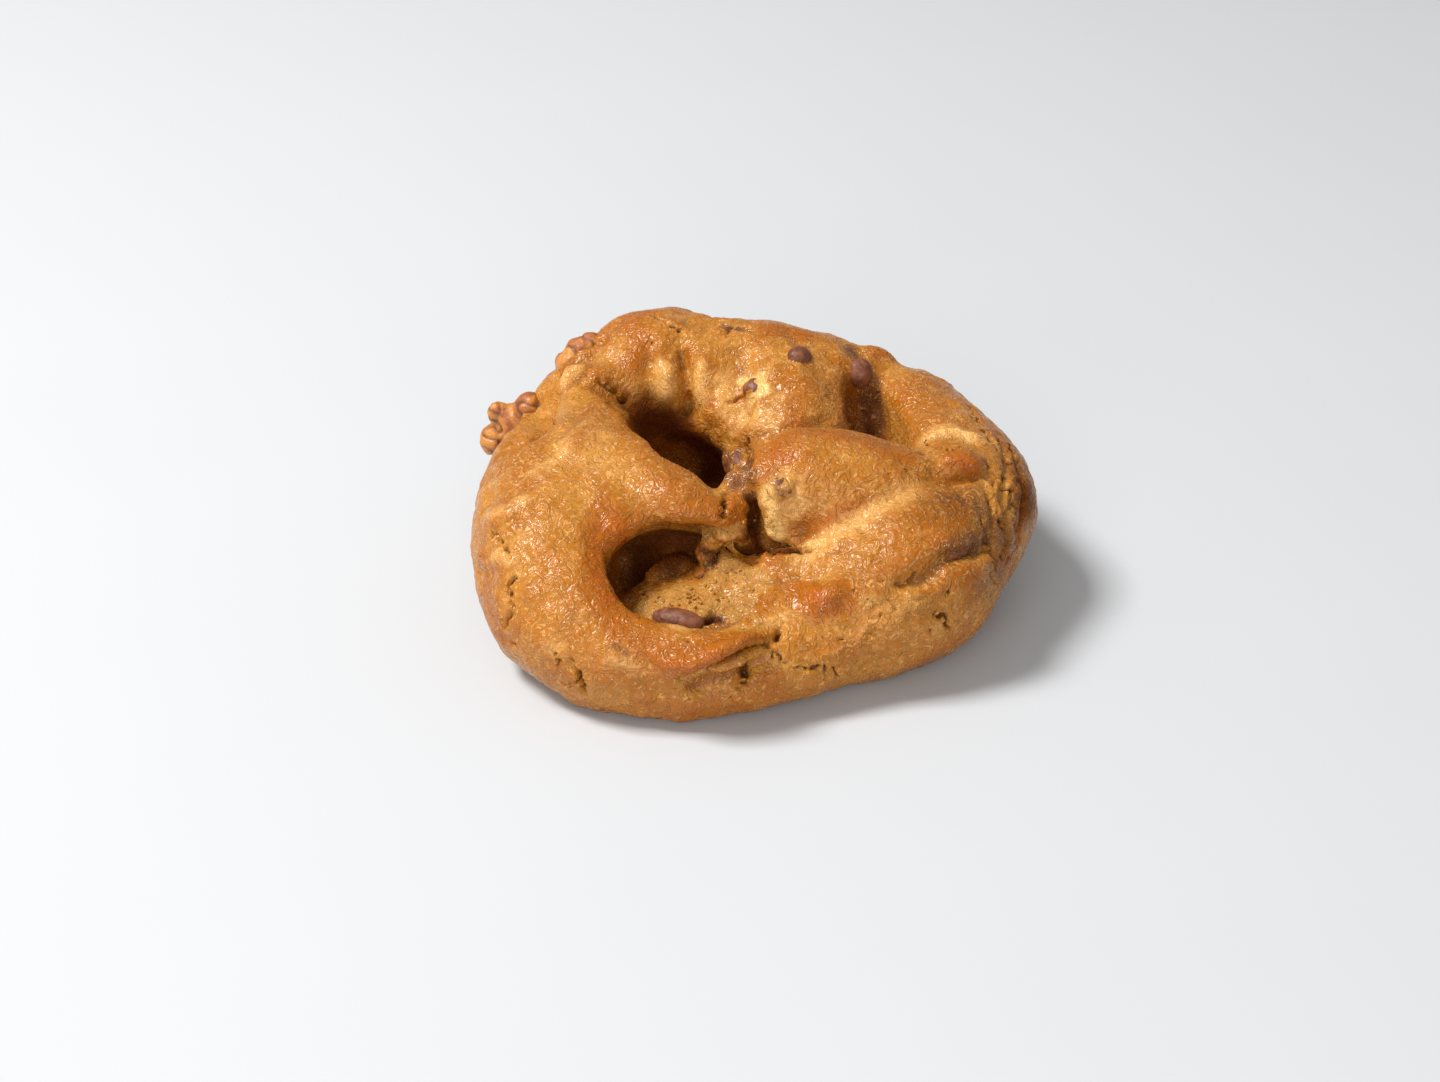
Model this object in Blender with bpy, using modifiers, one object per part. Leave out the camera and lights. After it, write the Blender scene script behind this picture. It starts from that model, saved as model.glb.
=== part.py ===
"""A thick chocolate chip and walnut cookie: folded ropes of dough round two deep hollows."""

import math

import bmesh
import bpy
import numpy as np
from mathutils import Vector, noise
from mathutils.bvhtree import BVHTree

# Every size below is in millimetres; this is one of them in metres
MM = 0.001

# How the dough is fused and faceted
VOXEL = 1.0
SMOOTH_ROUNDS = 6
DOUGH_TRIANGLES = 8600
ROPE_SIDES = 20
ROPE_STEP = 2.0
ROPE_END_TURNS = (25, 50, 70, 84)
MOUND_SIDES = 32
CHIP_SIDES = 14
LOBE_SIDES = 20

# The underside is flat and the cookie is never this wide
UNDERSIDE_BOX = 160.0

# Gentle unevenness of the baked skin
SWELL_HEIGHT = 0.45
SWELL_LENGTH = 7.0

# Clear space between the dough and each piece set into it
POCKET_GAP = 0.3

# Ropes of dough: each station is x, y, height of the centre line, and radius
ROPES = {
    "back_ridge": (
        (-33, 5, 15, 11),
        (-31, 15, 20, 11.3),
        (-26.5, 19.5, 22.2, 12),
        (-18, 24, 26.3, 13.2),
        (-9, 23, 26, 12.8),
        (5, 21, 25, 13),
        (14, 20.5, 23.5, 12),
        (20, 20, 21, 10.5),
    ),
    "back_bulge": (
        (8, 16, 22, 14),
        (7, 8, 17.5, 14.5),
        (4, -2, 11, 12),
    ),
    "bulge_side": (
        (0, 14, 22, 12),
        (0, 6, 15, 10),
    ),
    "left_arm": (
        (-30, 12, 20, 12.3),
        (-32, -3, 17.5, 16),
        (-33, -18, 15, 15.6),
        (-31, -30.5, 11.5, 13.5),
        (-23.5, -39.5, 10, 10.3),
        (-15.5, -44.5, 11.5, 6),
        (-9, -46.4, 13, 4.4),
        (-3, -46.4, 14.2, 3.3),
        (1, -45.2, 15, 2.2),
    ),
    "front_roll": (
        (-26, -39, 7, 8.6),
        (-12, -43.3, 6.5, 7.4),
        (6, -40.3, 7.5, 6.7),
        (20, -33, 8, 6.5),
    ),
    "tongue": (
        (-28, -9, 23.5, 11),
        (-22.5, -10, 24.2, 9.8),
        (-18.5, -15, 24.8, 8),
        (-13.5, -19.5, 25, 6.8),
        (-9.5, -22, 25.3, 5.5),
        (-7.3, -23, 25.3, 4),
    ),
    "tongue_edge": (
        (-27, 2, 24.2, 8.6),
        (-19, -10.5, 24.4, 7.2),
        (-10.5, -20.5, 24.8, 5.4),
    ),
    "right_mass": (
        (11, -33, 8, 9.5),
        (18, -30, 10, 12.5),
        (27, -23.5, 13.5, 15),
        (33, -13, 16, 14.3),
        (37, -6, 16.5, 14),
    ),
    "shoulder": (
        (37, -6, 16.5, 14),
        (36, 1, 17.5, 13.3),
        (33, 9, 18, 12.4),
        (28.5, 17, 19.5, 12),
    ),
    "flap": (
        (4, -14, 24.5, 9.6),
        (9, -13, 25, 10.6),
        (17, -13.5, 24, 10.8),
        (26, -14, 21, 11),
        (34, -13, 17.5, 11.5),
    ),
}

# Mounds: centre x, y, z, the three half sizes and the turn about the vertical in degrees
MOUNDS = {
    "base": ((0, -5, 10), (45, 41, 11), 0),
    "arm_web": ((-24, -14, 19), (12, 16, 13), 0),
    "flap_web": ((22, -24, 15), (15, 10, 11.5), 20),
    "front_swell": ((11, -32, 9), (12, 9.5, 10), 20),
    "knob": ((22.5, 23, 29), (5, 4, 5), 0),
}

# Hollows scooped out of the ropes and mounds
HOLLOWS = {
    "rear_hollow": ((-11.8, -2.6, 22), (10.3, 13.2, 18), 25),
    "under_ridge": ((-13, 4, 14), (11, 12, 10), 0),
    "front_hollow": ((-11.8, -30, 15.5), (14.8, 12, 11), 0),
    "under_tongue": ((-14.5, -21, 13.5), (12, 8.5, 7), 0),
    "tear": ((-1.2, -23, 23), (2.8, 9, 10), 8),
    "valley": ((22.3, 6, 28.5), (4.9, 11, 13.5), 17),
}

# Dough laid into the hollows after they are scooped out
FLOORS = {
    "slab_left": ((-8, -28.5, 3.5), (20, 15, 11.5), 8),
    "slab_right": ((4, -24.5, 4.5), (20, 13, 13.8), 0),
    "partition": ((-12, -14, 9), (11, 3.5, 10), 0),
    "sunken_nut": ((-12.5, -16.8, 11.5), (4.4, 3.6, 4.3), 20),
    "wedge_top": ((-2, -16.5, 25.5), (3.6, 3.4, 3.8), 0),
    "wedge": ((-3.4, -21, 21.5), (4.0, 3.8, 5.0), 0),
    "wedge_foot": ((-6.4, -23.5, 18.5), (3.8, 3.0, 2.8), -20),
}

# Narrow gaps cut last, between the wedge and the torn end of the flap and under the flap
GAPS = {
    "wedge_gap": ((0.9, -21.5, 23), (1.6, 7, 7.6), 8),
    "flap_gap": ((6, -22.5, 17.8), (9, 4.5, 1.4), 5),
}

# Raised (plus) and sunk (minus) lines on the skin: points, reach and height
RELIEF = {
    "ridge_groove": (((-12, 17, 37), (-12, 12, 32), (-11, 10, 26)), 3.0, -1.1),
    "ridge_dent": (((-18, 15, 35), (-17.5, 12, 30.5)), 2.6, -0.7),
    "ridge_side": (((-2.8, 15.8, 36.5), (-2.3, 9, 32), (-1.6, 4.5, 28.5)), 4.5, -1.6),
    "right_lobe": (((7, 11, 34.5), (7, 5.5, 31.5)), 8.0, 0.9),
    "arm_crease": (((-27.5, 11.5, 32), (-20.5, 2, 33)), 3.2, -1.6),
    "back_lump": (((-32.5, 12, 31.5),), 4.2, 1.6),
    "side_lump": (((-36, 5, 30.5),), 3.6, 1.1),
    "left_bump": (((-43.2, -23.3, 25.7),), 4.5, 1.1),
    "low_left_bump": (((-41, -32, 22.3),), 4.0, 0.9),
    "nut_bump": (((34, -11.5, 31), (37.5, -12.5, 30)), 3.6, 2.0),
    "nut_crease": (((26, -17, 33), (33.5, -18.5, 30), (41, -14, 29)), 2.6, -1.5),
    "smear_groove": (((24, -37.5, 19.5), (31, -34, 22.5), (40, -27, 23.5)), 3.6, -1.5),
    "orange_bump": (((10.5, -38.5, 17.5), (13, -36.5, 19)), 4.2, 1.7),
    "lip_line": (((-10.4, -50.5, 9), (-3, -48.5, 10.5), (1.5, -46, 12)), 2.4, -2.2),
    "crest_notch": (((-6, 30, 37.3), (0, 29.5, 37)), 4.0, -1.4),
    "mouth_groove": (((2, -44, 15), (4.5, -41.5, 17)), 2.4, -1.3),
}

# Chocolate: a point near the skin, the three half sizes, and how much of the height is sunk
CHIPS = {
    "chip_ridge": ((8.7, 14.6, 35.7), (2.5, 2.3, 2.0), 0.55),
    "chip_valley": ((20.3, 14.5, 32.0), (2.5, 2.9, 2.2), 0.5),
    "chip_lobe": ((0.2, 9.3, 32.4), (2.4, 2.2, 1.8), 0.55),
    "chip_flap": ((4.6, -21.5, 30.0), (2.5, 2.1, 1.8), 0.6),
    "chip_floor": ((-12.4, -36.0, 12.5), (5.0, 2.3, 1.9), 0.55),
    "chip_hollow": ((-4.0, 1.0, 21.0), (5.0, 3.0, 2.6), 0.6),
    "chip_side": ((35.0, -30.5, 23.5), (3.4, 2.0, 1.7), 0.7),
}

# Walnut pieces: lobes, each a centre and a radius
WALNUTS = {
    "walnut_left": (
        ((-46.3, 17.5, 23), 1.9),
        ((-40.3, 17, 24.2), 2.7),
        ((-37.5, 17.5, 23.6), 2.6),
        ((-46.6, 16.5, 17.6), 3.0),
        ((-43.2, 17.5, 20.5), 3.7),
        ((-41.2, 16, 18.2), 3.2),
        ((-44.0, 20.5, 18.0), 3.0),
        ((-39.5, 20.5, 20.5), 3.4),
    ),
    "walnut_back": (
        ((-33.2, 24.0, 29.2), 2.4),
        ((-31.2, 25.4, 31.4), 2.6),
        ((-29.2, 26.0, 32.6), 2.1),
        ((-33.4, 27.0, 28.0), 2.5),
    ),
}
WALNUT_VOXEL = 0.5
WALNUT_ROUNDS = 2
WALNUT_TRIANGLES = 700

# Finishes: colour in linear light and roughness
DOUGH_FINISH = ((0.47, 0.21, 0.055), 0.45)
CHOCOLATE_FINISH = ((0.10, 0.045, 0.03), 0.38)
WALNUT_FINISH = ((0.30, 0.12, 0.04), 0.5)


def fresh_scene():
    """Remove what the scene holds."""
    for thing in list(bpy.data.objects):
        bpy.data.objects.remove(thing)


def collection(name):
    """A new collection in the scene."""
    made = bpy.data.collections.new(name)
    bpy.context.scene.collection.children.link(made)
    return made


def finish(name, look):
    """A material from a colour and a roughness."""
    colour, roughness = look
    made = bpy.data.materials.new(name)
    made.use_nodes = True
    shader = made.node_tree.nodes["Principled BSDF"]
    shader.inputs["Base Color"].default_value = (*colour, 1)
    shader.inputs["Roughness"].default_value = roughness
    shader.inputs["Metallic"].default_value = 0
    return made


def curved(stations, step):
    """Points of a smooth line through the stations, with the radius carried along."""
    points = [Vector(s) for s in stations]
    points = [points[0] * 2 - points[1], *points, points[-1] * 2 - points[-2]]
    line = []
    for a, b, c, d in zip(points, points[1:], points[2:], points[3:]):
        pieces = max(2, math.ceil((c - b).to_3d().length / step))
        for i in range(pieces):
            t = i / pieces
            line.append(
                (b * 2 + (c - a) * t + (a * 2 - b * 5 + c * 4 - d) * t**2
                 + (b * 3 - a - c * 3 + d) * t**3) / 2
            )
    line.append(points[-2])
    return line


def round_ended(line):
    """The line with a rounded end added at each of its ends."""
    ends = []
    for tip, inner in ((line[0], line[1]), (line[-1], line[-2])):
        outward = (tip.to_3d() - inner.to_3d()).normalized()
        radius = tip[3]
        cap = []
        for angle in ROPE_END_TURNS:
            turn = math.radians(angle)
            place = tip.to_3d() + outward * radius * math.sin(turn)
            cap.append(Vector((*place, radius * math.cos(turn))))
        ends.append(cap)
    return ends[0][::-1] + line + ends[1]


def rope(name, stations, target):
    """A closed tube whose radius changes along its length."""
    line = round_ended(curved(stations, ROPE_STEP))
    curve = bpy.data.curves.new(name, "CURVE")
    curve.dimensions = "3D"
    curve.bevel_depth = MM
    curve.bevel_resolution = ROPE_SIDES // 4
    curve.use_fill_caps = True
    spline = curve.splines.new("POLY")
    spline.points.add(len(line) - 1)
    for point, (x, y, z, radius) in zip(spline.points, line):
        point.co = (x * MM, y * MM, z * MM, 1)
        point.radius = radius
    made = bpy.data.objects.new(name, curve)
    target.objects.link(made)
    return made


def mound(name, centre, half_sizes, turn, target, sides=MOUND_SIDES):
    """A closed ellipsoid."""
    mesh = bpy.data.meshes.new(name)
    form = bmesh.new()
    bmesh.ops.create_uvsphere(
        form, u_segments=sides, v_segments=sides * 5 // 8, radius=1
    )
    bmesh.ops.scale(form, vec=Vector(half_sizes) * MM, verts=form.verts)
    form.to_mesh(mesh)
    form.free()
    made = bpy.data.objects.new(name, mesh)
    made.location = Vector(centre) * MM
    made.rotation_euler.z = math.radians(turn)
    target.objects.link(made)
    return made


def evaluated(thing):
    """The object's mesh with its modifiers applied, in world space."""
    bpy.context.view_layer.update()
    graph = bpy.context.evaluated_depsgraph_get()
    mesh = bpy.data.meshes.new_from_object(thing.evaluated_get(graph))
    mesh.transform(thing.matrix_world)
    return mesh


def applied(thing):
    """Turn the object's modifiers and placing into its own mesh."""
    mesh = evaluated(thing)
    thing.modifiers.clear()
    thing.data = mesh
    thing.location = (0, 0, 0)
    thing.rotation_euler = (0, 0, 0)


def gathered(name, pieces, target):
    """One mesh object that holds every piece, still overlapping."""
    form = bmesh.new()
    for piece in pieces:
        mesh = evaluated(piece)
        form.from_mesh(mesh)
        bpy.data.meshes.remove(mesh)
    bmesh.ops.remove_doubles(form, verts=form.verts, dist=MM * MM)
    mesh = bpy.data.meshes.new(name)
    form.to_mesh(mesh)
    form.free()
    made = bpy.data.objects.new(name, mesh)
    target.objects.link(made)
    for piece in pieces:
        bpy.data.objects.remove(piece)
    return made


def fuse(thing, name, size):
    """Fuse what overlaps in the object into one skin."""
    remesh = thing.modifiers.new(name, "REMESH")
    remesh.mode = "VOXEL"
    remesh.voxel_size = size * MM


def soften(thing, rounds):
    """Smooth the creases between fused pieces."""
    smooth = thing.modifiers.new("soften", "SMOOTH")
    smooth.factor = 0.5
    smooth.iterations = rounds


def combine(thing, name, operation, pieces):
    """Cut the pieces out of the object, or join them to it."""
    for piece in pieces.objects:
        piece.hide_render = True
        piece.display_type = "WIRE"
    boolean = thing.modifiers.new(name, "BOOLEAN")
    boolean.operand_type = "COLLECTION"
    boolean.collection = pieces
    boolean.operation = operation
    boolean.solver = "MANIFOLD"


def facet(thing, triangles):
    """Bring the object down to about this many triangles."""
    count = sum(len(face.vertices) - 2 for face in thing.data.polygons)
    decimate = thing.modifiers.new("facet", "DECIMATE")
    decimate.ratio = min(1.0, triangles / count)


def distance_to_line(places, points):
    """The distance of each place to a line through the points."""
    points = np.array(points, dtype=float)
    if len(points) == 1:
        return np.linalg.norm(places - points[0], axis=1)
    nearest = np.full(len(places), np.inf)
    for start, end in zip(points, points[1:]):
        along = end - start
        share = np.clip((places - start) @ along / (along @ along), 0, 1)
        gap = np.linalg.norm(places - start - share[:, None] * along, axis=1)
        nearest = np.minimum(nearest, gap)
    return nearest


def raise_and_sink(mesh):
    """Press the relief and the gentle swells into the skin."""
    count = len(mesh.vertices)
    places = np.empty(count * 3)
    mesh.vertices.foreach_get("co", places)
    places = places.reshape(-1, 3) / MM
    normals = np.array([vertex.normal[:] for vertex in mesh.vertices])
    shift = np.array([
        SWELL_HEIGHT * noise.noise(Vector(place) / SWELL_LENGTH) for place in places
    ])
    for points, reach, height in RELIEF.values():
        nearness = np.clip(1 - (distance_to_line(places, points) / reach) ** 2, 0, 1)
        shift += height * nearness**2
    places += normals * shift[:, None]
    mesh.vertices.foreach_set("co", (places * MM).ravel())
    mesh.update()


def build_dough(target):
    """The dough: ropes and mounds fused into one body, hollowed, shaped and cut flat below."""
    lumps = [rope(name, stations, target) for name, stations in ROPES.items()]
    lumps += [mound(name, *sizes, target) for name, sizes in MOUNDS.items()]
    dough = gathered("dough", lumps, target)
    hollows = collection("hollows")
    for name, sizes in HOLLOWS.items():
        mound(name, *sizes, hollows)
    floors = collection("floors")
    for name, sizes in FLOORS.items():
        mound(name, *sizes, floors)
    gaps = collection("gaps")
    for name, sizes in GAPS.items():
        mound(name, *sizes, gaps)
    fuse(dough, "fuse", VOXEL)
    combine(dough, "hollow", "DIFFERENCE", hollows)
    combine(dough, "lay floor", "UNION", floors)
    combine(dough, "part the folds", "DIFFERENCE", gaps)
    fuse(dough, "fuse again", VOXEL)
    soften(dough, SMOOTH_ROUNDS)
    applied(dough)
    for used in (hollows, floors, gaps):
        remove_collection(used)
    raise_and_sink(dough.data)
    return dough


def cut_underside(dough):
    """Cut everything below the surface that the cookie lies on."""
    below = collection("below")
    bpy.ops.mesh.primitive_cube_add(size=UNDERSIDE_BOX * MM)
    box = bpy.context.object
    box.name = "below_underside"
    box.location.z = -UNDERSIDE_BOX * MM / 2
    for holder in list(box.users_collection):
        holder.objects.unlink(box)
    below.objects.link(box)
    combine(dough, "flat underside", "DIFFERENCE", below)
    return below


def seat_chip(name, sizes, tree, target, pockets):
    """A chip sunk into the skin, and the slightly larger pocket that holds it."""
    near, half_sizes, sunk = sizes
    place, normal, _, _ = tree.find_nearest(Vector(near) * MM)
    centre = place / MM - normal * half_sizes[2] * (sunk * 2 - 1)
    tilt = normal.to_track_quat("Z", "Y")
    chip = mound(name, centre, half_sizes, 0, target, sides=CHIP_SIDES)
    chip.rotation_euler = tilt.to_euler()
    wider = [half + POCKET_GAP for half in half_sizes]
    pocket = mound(name + "_pocket", centre, wider, 0, pockets, sides=CHIP_SIDES)
    pocket.rotation_euler = tilt.to_euler()
    return chip


def fused_lobes(name, lobes, grown, holder):
    """Round lobes fused into one piece."""
    spheres = [
        mound(f"{name}_{i}", centre, (radius + grown,) * 3, 0, holder, sides=LOBE_SIDES)
        for i, (centre, radius) in enumerate(lobes)
    ]
    piece = gathered(name, spheres, holder)
    fuse(piece, "fuse", WALNUT_VOXEL)
    soften(piece, WALNUT_ROUNDS)
    applied(piece)
    facet(piece, WALNUT_TRIANGLES)
    applied(piece)
    return piece


def crack_walnut(name, lobes, target, pockets):
    """A walnut piece, and the slightly larger pocket that holds it."""
    fused_lobes(name + "_pocket", lobes, POCKET_GAP, pockets)
    return fused_lobes(name, lobes, 0, target)


def largest_only(mesh):
    """Drop any scrap that the cutting left loose."""
    form = bmesh.new()
    form.from_mesh(mesh)
    islands = []
    waiting = set(form.verts)
    while waiting:
        island = [waiting.pop()]
        for vertex in island:
            for edge in vertex.link_edges:
                other = edge.other_vert(vertex)
                if other in waiting:
                    waiting.remove(other)
                    island.append(other)
        islands.append(island)
    islands.sort(key=len)
    for scrap in islands[:-1]:
        bmesh.ops.delete(form, geom=scrap, context="VERTS")
    form.to_mesh(mesh)
    form.free()


def stand_at_origin(pieces):
    """Move the pieces so that the middle of the underside of them all is the origin."""
    corners = []
    for piece in pieces:
        mesh = evaluated(piece)
        corners += [vertex.co.copy() for vertex in mesh.vertices]
        bpy.data.meshes.remove(mesh)
    low = Vector([min(corner[i] for corner in corners) for i in range(3)])
    high = Vector([max(corner[i] for corner in corners) for i in range(3)])
    shift = -Vector(((low.x + high.x) / 2, (low.y + high.y) / 2, low.z))
    for piece in pieces:
        piece.location += shift
    return shift


def remove_collection(used):
    """Remove a collection with the objects in it."""
    for thing in list(used.objects):
        bpy.data.objects.remove(thing)
    bpy.data.collections.remove(used)


def dress(pieces, look_name, look):
    """Give each piece its own material and a smooth skin."""
    for piece in pieces:
        piece.data.materials.clear()
        piece.data.materials.append(finish(f"{piece.name} {look_name}", look))
        piece.data.shade_smooth()


def main():
    """Build the dough, set the chips and nuts into it and stand the cookie at the origin."""
    fresh_scene()
    cookie = collection("cookie")
    pockets = collection("pockets")
    dough = build_dough(cookie)
    skin = BVHTree.FromPolygons(
        [vertex.co for vertex in dough.data.vertices],
        [face.vertices for face in dough.data.polygons],
    )
    chips = [seat_chip(name, sizes, skin, cookie, pockets) for name, sizes in CHIPS.items()]
    nuts = [crack_walnut(name, lobes, cookie, pockets) for name, lobes in WALNUTS.items()]
    below = cut_underside(dough)
    applied(dough)
    facet(dough, DOUGH_TRIANGLES)
    applied(dough)
    combine(dough, "pockets", "DIFFERENCE", pockets)
    applied(dough)
    largest_only(dough.data)
    remove_collection(below)
    remove_collection(pockets)
    dress([dough], "crust", DOUGH_FINISH)
    dress(chips, "chocolate", CHOCOLATE_FINISH)
    dress(nuts, "walnut", WALNUT_FINISH)
    return stand_at_origin([dough, *chips, *nuts])


if __name__ == "__main__":
    main()
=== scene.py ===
"""The finished look of a thick chocolate chip and walnut cookie.

The dough is remade at high resolution over the model's own solid, then marked with the
cracks, pits, torn crumb, browning and chocolate smears that the baked cookie shows, and
with painted shade in its hollows, cracks and darker side and painted highlights on its
ridges and strands.
"""

from __future__ import annotations

import logging
import math
import random
from dataclasses import dataclass, field
from enum import Enum
from itertools import cycle

import bmesh
import bpy
import numpy as np
from bmesh.types import BMesh
from bpy.types import Material, Mesh, NodeSocket, Object
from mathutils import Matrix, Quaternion, Vector, noise
from mathutils.bvhtree import BVHTree

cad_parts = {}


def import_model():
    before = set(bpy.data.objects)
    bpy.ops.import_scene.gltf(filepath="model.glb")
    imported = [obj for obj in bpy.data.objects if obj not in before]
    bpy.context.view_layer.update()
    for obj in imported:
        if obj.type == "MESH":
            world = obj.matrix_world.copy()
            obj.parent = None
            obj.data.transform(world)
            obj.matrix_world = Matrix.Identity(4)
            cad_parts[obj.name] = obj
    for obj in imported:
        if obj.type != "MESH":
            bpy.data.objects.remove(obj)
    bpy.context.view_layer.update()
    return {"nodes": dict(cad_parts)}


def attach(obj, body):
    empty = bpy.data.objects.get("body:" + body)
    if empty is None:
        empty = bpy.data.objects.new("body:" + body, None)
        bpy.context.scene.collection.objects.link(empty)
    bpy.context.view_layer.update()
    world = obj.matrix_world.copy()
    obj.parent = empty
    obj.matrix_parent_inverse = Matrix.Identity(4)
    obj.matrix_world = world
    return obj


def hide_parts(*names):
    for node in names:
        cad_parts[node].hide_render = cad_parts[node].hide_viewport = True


MM = 0.001
BODY = "root"
DOUGH_NODE = "dough"

Pair = tuple[float, float]
Triple = tuple[float, float, float]

log = logging.getLogger("cookie")


class Mark(Enum):
    """What a trace leaves on the dough."""

    GROOVE = "groove"
    BUMP = "bump"
    CRACK = "crack"
    PIT = "pit"
    # Several colour marks are partly painted light: brown, red and chocolate also paint shade,
    # pale also paints highlights and sheen, and shade paints only shade.
    BROWN = "brown"
    RED = "red"
    PALE_AND_SHEEN = "pale"
    CHOCOLATE_AND_SHADE = "chocolate"
    CRUMB = "crumb"
    GLOSS = "gloss"
    SHADE = "shade"


# Which way the shaping marks move the skin; the others only colour it
SHAPING = {Mark.GROOVE: -1.0, Mark.BUMP: 1.0, Mark.CRACK: -1.0, Mark.PIT: -1.0}
COLOURING = tuple(mark for mark in Mark if mark not in SHAPING)
SHARP = (Mark.CRACK, Mark.PIT)


@dataclass(frozen=True)
class Trace:
    """One mark on the dough, as seen in the photograph.

    The points are places in the 1440 by 1082 view. The reach is in millimetres; the
    amount is a depth or height in millimetres, or a strength from 0 to 1 for a colour.
    """

    mark: Mark
    points: tuple[Pair, ...]
    reach: float
    amount: float


@dataclass(frozen=True)
class Lump:
    """A small swelling of the dough, placed where the photograph shows it.

    The radii run across, away from and up in the model, and the lift is along the skin's
    own direction, all in millimetres. The turn is in degrees.
    """

    place: Pair
    radii: Triple
    lift: float
    turn: float = 0.0


@dataclass(frozen=True)
class View:
    """The photograph's viewpoint, in the model's frame."""

    width: int = 1440
    height: int = 1082
    focal_pixels: float = 2496.5
    elevation_deg: float = 32.0
    distance: float = 0.452
    aim: Triple = (-0.006088, 0.006833, 0.006003)
    sensor: float = 36.0
    nearest: float = 0.01

    def forward(self) -> Vector:
        """The direction in which the view looks."""
        tilt = math.radians(self.elevation_deg)
        return Vector((0.0, math.cos(tilt), -math.sin(tilt)))

    def upward(self) -> Vector:
        """The direction that is up in the picture."""
        tilt = math.radians(self.elevation_deg)
        return Vector((0.0, math.sin(tilt), math.cos(tilt)))

    def place(self) -> Vector:
        """Where the camera stands."""
        return Vector(self.aim) - self.forward() * self.distance

    def ray(self, x: float, y: float) -> Vector:
        """The direction through a point of the picture.

        Args:
            x: Pixels from the left edge.
            y: Pixels from the top edge.

        Returns:
            A unit vector.
        """
        across = (x - self.width / 2) / self.focal_pixels
        down = (y - self.height / 2) / self.focal_pixels
        aimed = self.forward() + Vector((1, 0, 0)) * across - self.upward() * down
        return aimed.normalized()

    def camera(self) -> None:
        """Make the camera and select it."""
        lens = bpy.data.cameras.new("photo_view")
        lens.sensor_width = self.sensor
        lens.lens = self.focal_pixels / self.width * self.sensor
        lens.clip_start = self.nearest
        made = bpy.data.objects.new("photo_view", lens)
        made.location = self.place()
        made.rotation_euler = self.forward().to_track_quat("-Z", "Y").to_euler()
        bpy.context.scene.collection.objects.link(made)
        bpy.context.scene.camera = made


PHOTO = View()


def traces(mark: Mark, *rows: tuple) -> tuple[Trace, ...]:
    """Traces of one kind.

    Args:
        mark: What they leave on the dough.
        rows: For each, its reach, its amount and then its points.

    Returns:
        The traces.
    """
    return tuple(Trace(mark, points, reach, amount) for reach, amount, *points in rows)


# Cracks and crevices: narrow and sharp edged, darkened with painted shade
CRACKS = traces(
    Mark.CRACK,
    (0.9, 1.5, (514, 580), (510, 586), (508, 596), (513, 608), (509, 619), (505, 627)),
    (0.6, 1.0, (556, 653), (557, 666)),
    (0.9, 2.0, (573, 661), (577, 673), (581, 682), (586, 692)),
    (0.6, 1.2, (568, 685), (578, 680)),
    (1.3, 2.2, (756, 646), (746, 654), (748, 664), (744, 674), (742, 688)),
    (1.4, 2.2, (779, 631), (773, 640), (762, 645)),
    (0.6, 1.0, (742, 688), (729, 700)),
    (0.6, 0.9, (771, 655), (782, 659), (795, 669), (807, 669), (821, 668), (832, 670), (841, 677)),
    (0.8, 1.4, (936, 614), (946, 620), (950, 628)),
    (0.5, 0.8, (866, 635), (875, 633)),
    (0.8, 1.6, (942, 555), (955, 552), (971, 554)),
    (0.7, 1.3, (970, 407), (976, 418), (980, 424)),
    (0.9, 1.6, (984, 430), (994, 444), (1000, 452)),
    (0.7, 1.1, (1002, 470), (1010, 490), (1014, 512)),
    (0.7, 1.1, (1018, 478), (1024, 500), (1022, 524)),
    (0.6, 0.9, (994, 505), (1003, 528), (1006, 552)),
    (0.7, 1.0, (1020, 536), (1014, 552), (1004, 566)),
    (0.6, 0.9, (657, 316), (668, 324), (682, 330)),
    (0.8, 1.4, (722, 318), (730, 328), (748, 330)),
    (1.1, 2.6, (913, 450), (919, 453), (924, 452)),
    (0.7, 1.4, (741, 450), (744, 444), (747, 439)),
    (1.0, 1.6, (601, 383), (612, 391), (624, 399)),
    (0.9, 1.8, (718, 554), (712, 560), (706, 566), (696, 575)),
    (0.5, 0.7, (640, 592), (650, 600)),
    (0.5, 0.8, (736, 578), (738, 590)),
    (0.7, 0.9, (490, 533), (500, 540), (514, 556)),
    (0.9, 1.6, (727, 491), (725, 508), (721, 524), (702, 539)),
    (0.9, 1.4, (742, 549), (768, 549), (804, 549)),
    (0.7, 1.2, (701, 674), (720, 665), (742, 652), (757, 648)),
    (1.2, 2.0, (711, 545), (724, 546), (738, 548), (752, 549)),
    (1.2, 2.0, (752, 549), (772, 551), (790, 552), (806, 549)),
    (0.6, 0.9, (925, 443), (936, 449), (950, 451), (962, 448)),
    (2.0, 2.2, (711, 620), (721, 618)),
    (1.1, 1.6, (744, 440), (746, 448)),
    (0.8, 0.7, (731, 402), (738, 398)),
    (0.6, 0.8, (883, 582), (902, 584), (918, 575)),
    (0.6, 0.9, (988, 462), (994, 482), (990, 500)),
    (0.6, 0.9, (1010, 446), (1018, 466), (1016, 486)),
    (0.6, 0.8, (1000, 520), (1006, 540), (1000, 560)),
    (0.7, 1.1, (996, 480), (1004, 486), (1010, 500), (1006, 514)),
    (0.7, 1.0, (980, 520), (984, 536), (994, 548), (992, 562)),
    (0.7, 1.0, (1012, 520), (1018, 532), (1012, 544)),
    (0.6, 0.9, (988, 572), (996, 584), (990, 596)),
    (0.6, 0.9, (1002, 456), (1010, 462), (1020, 460)),
)
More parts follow.
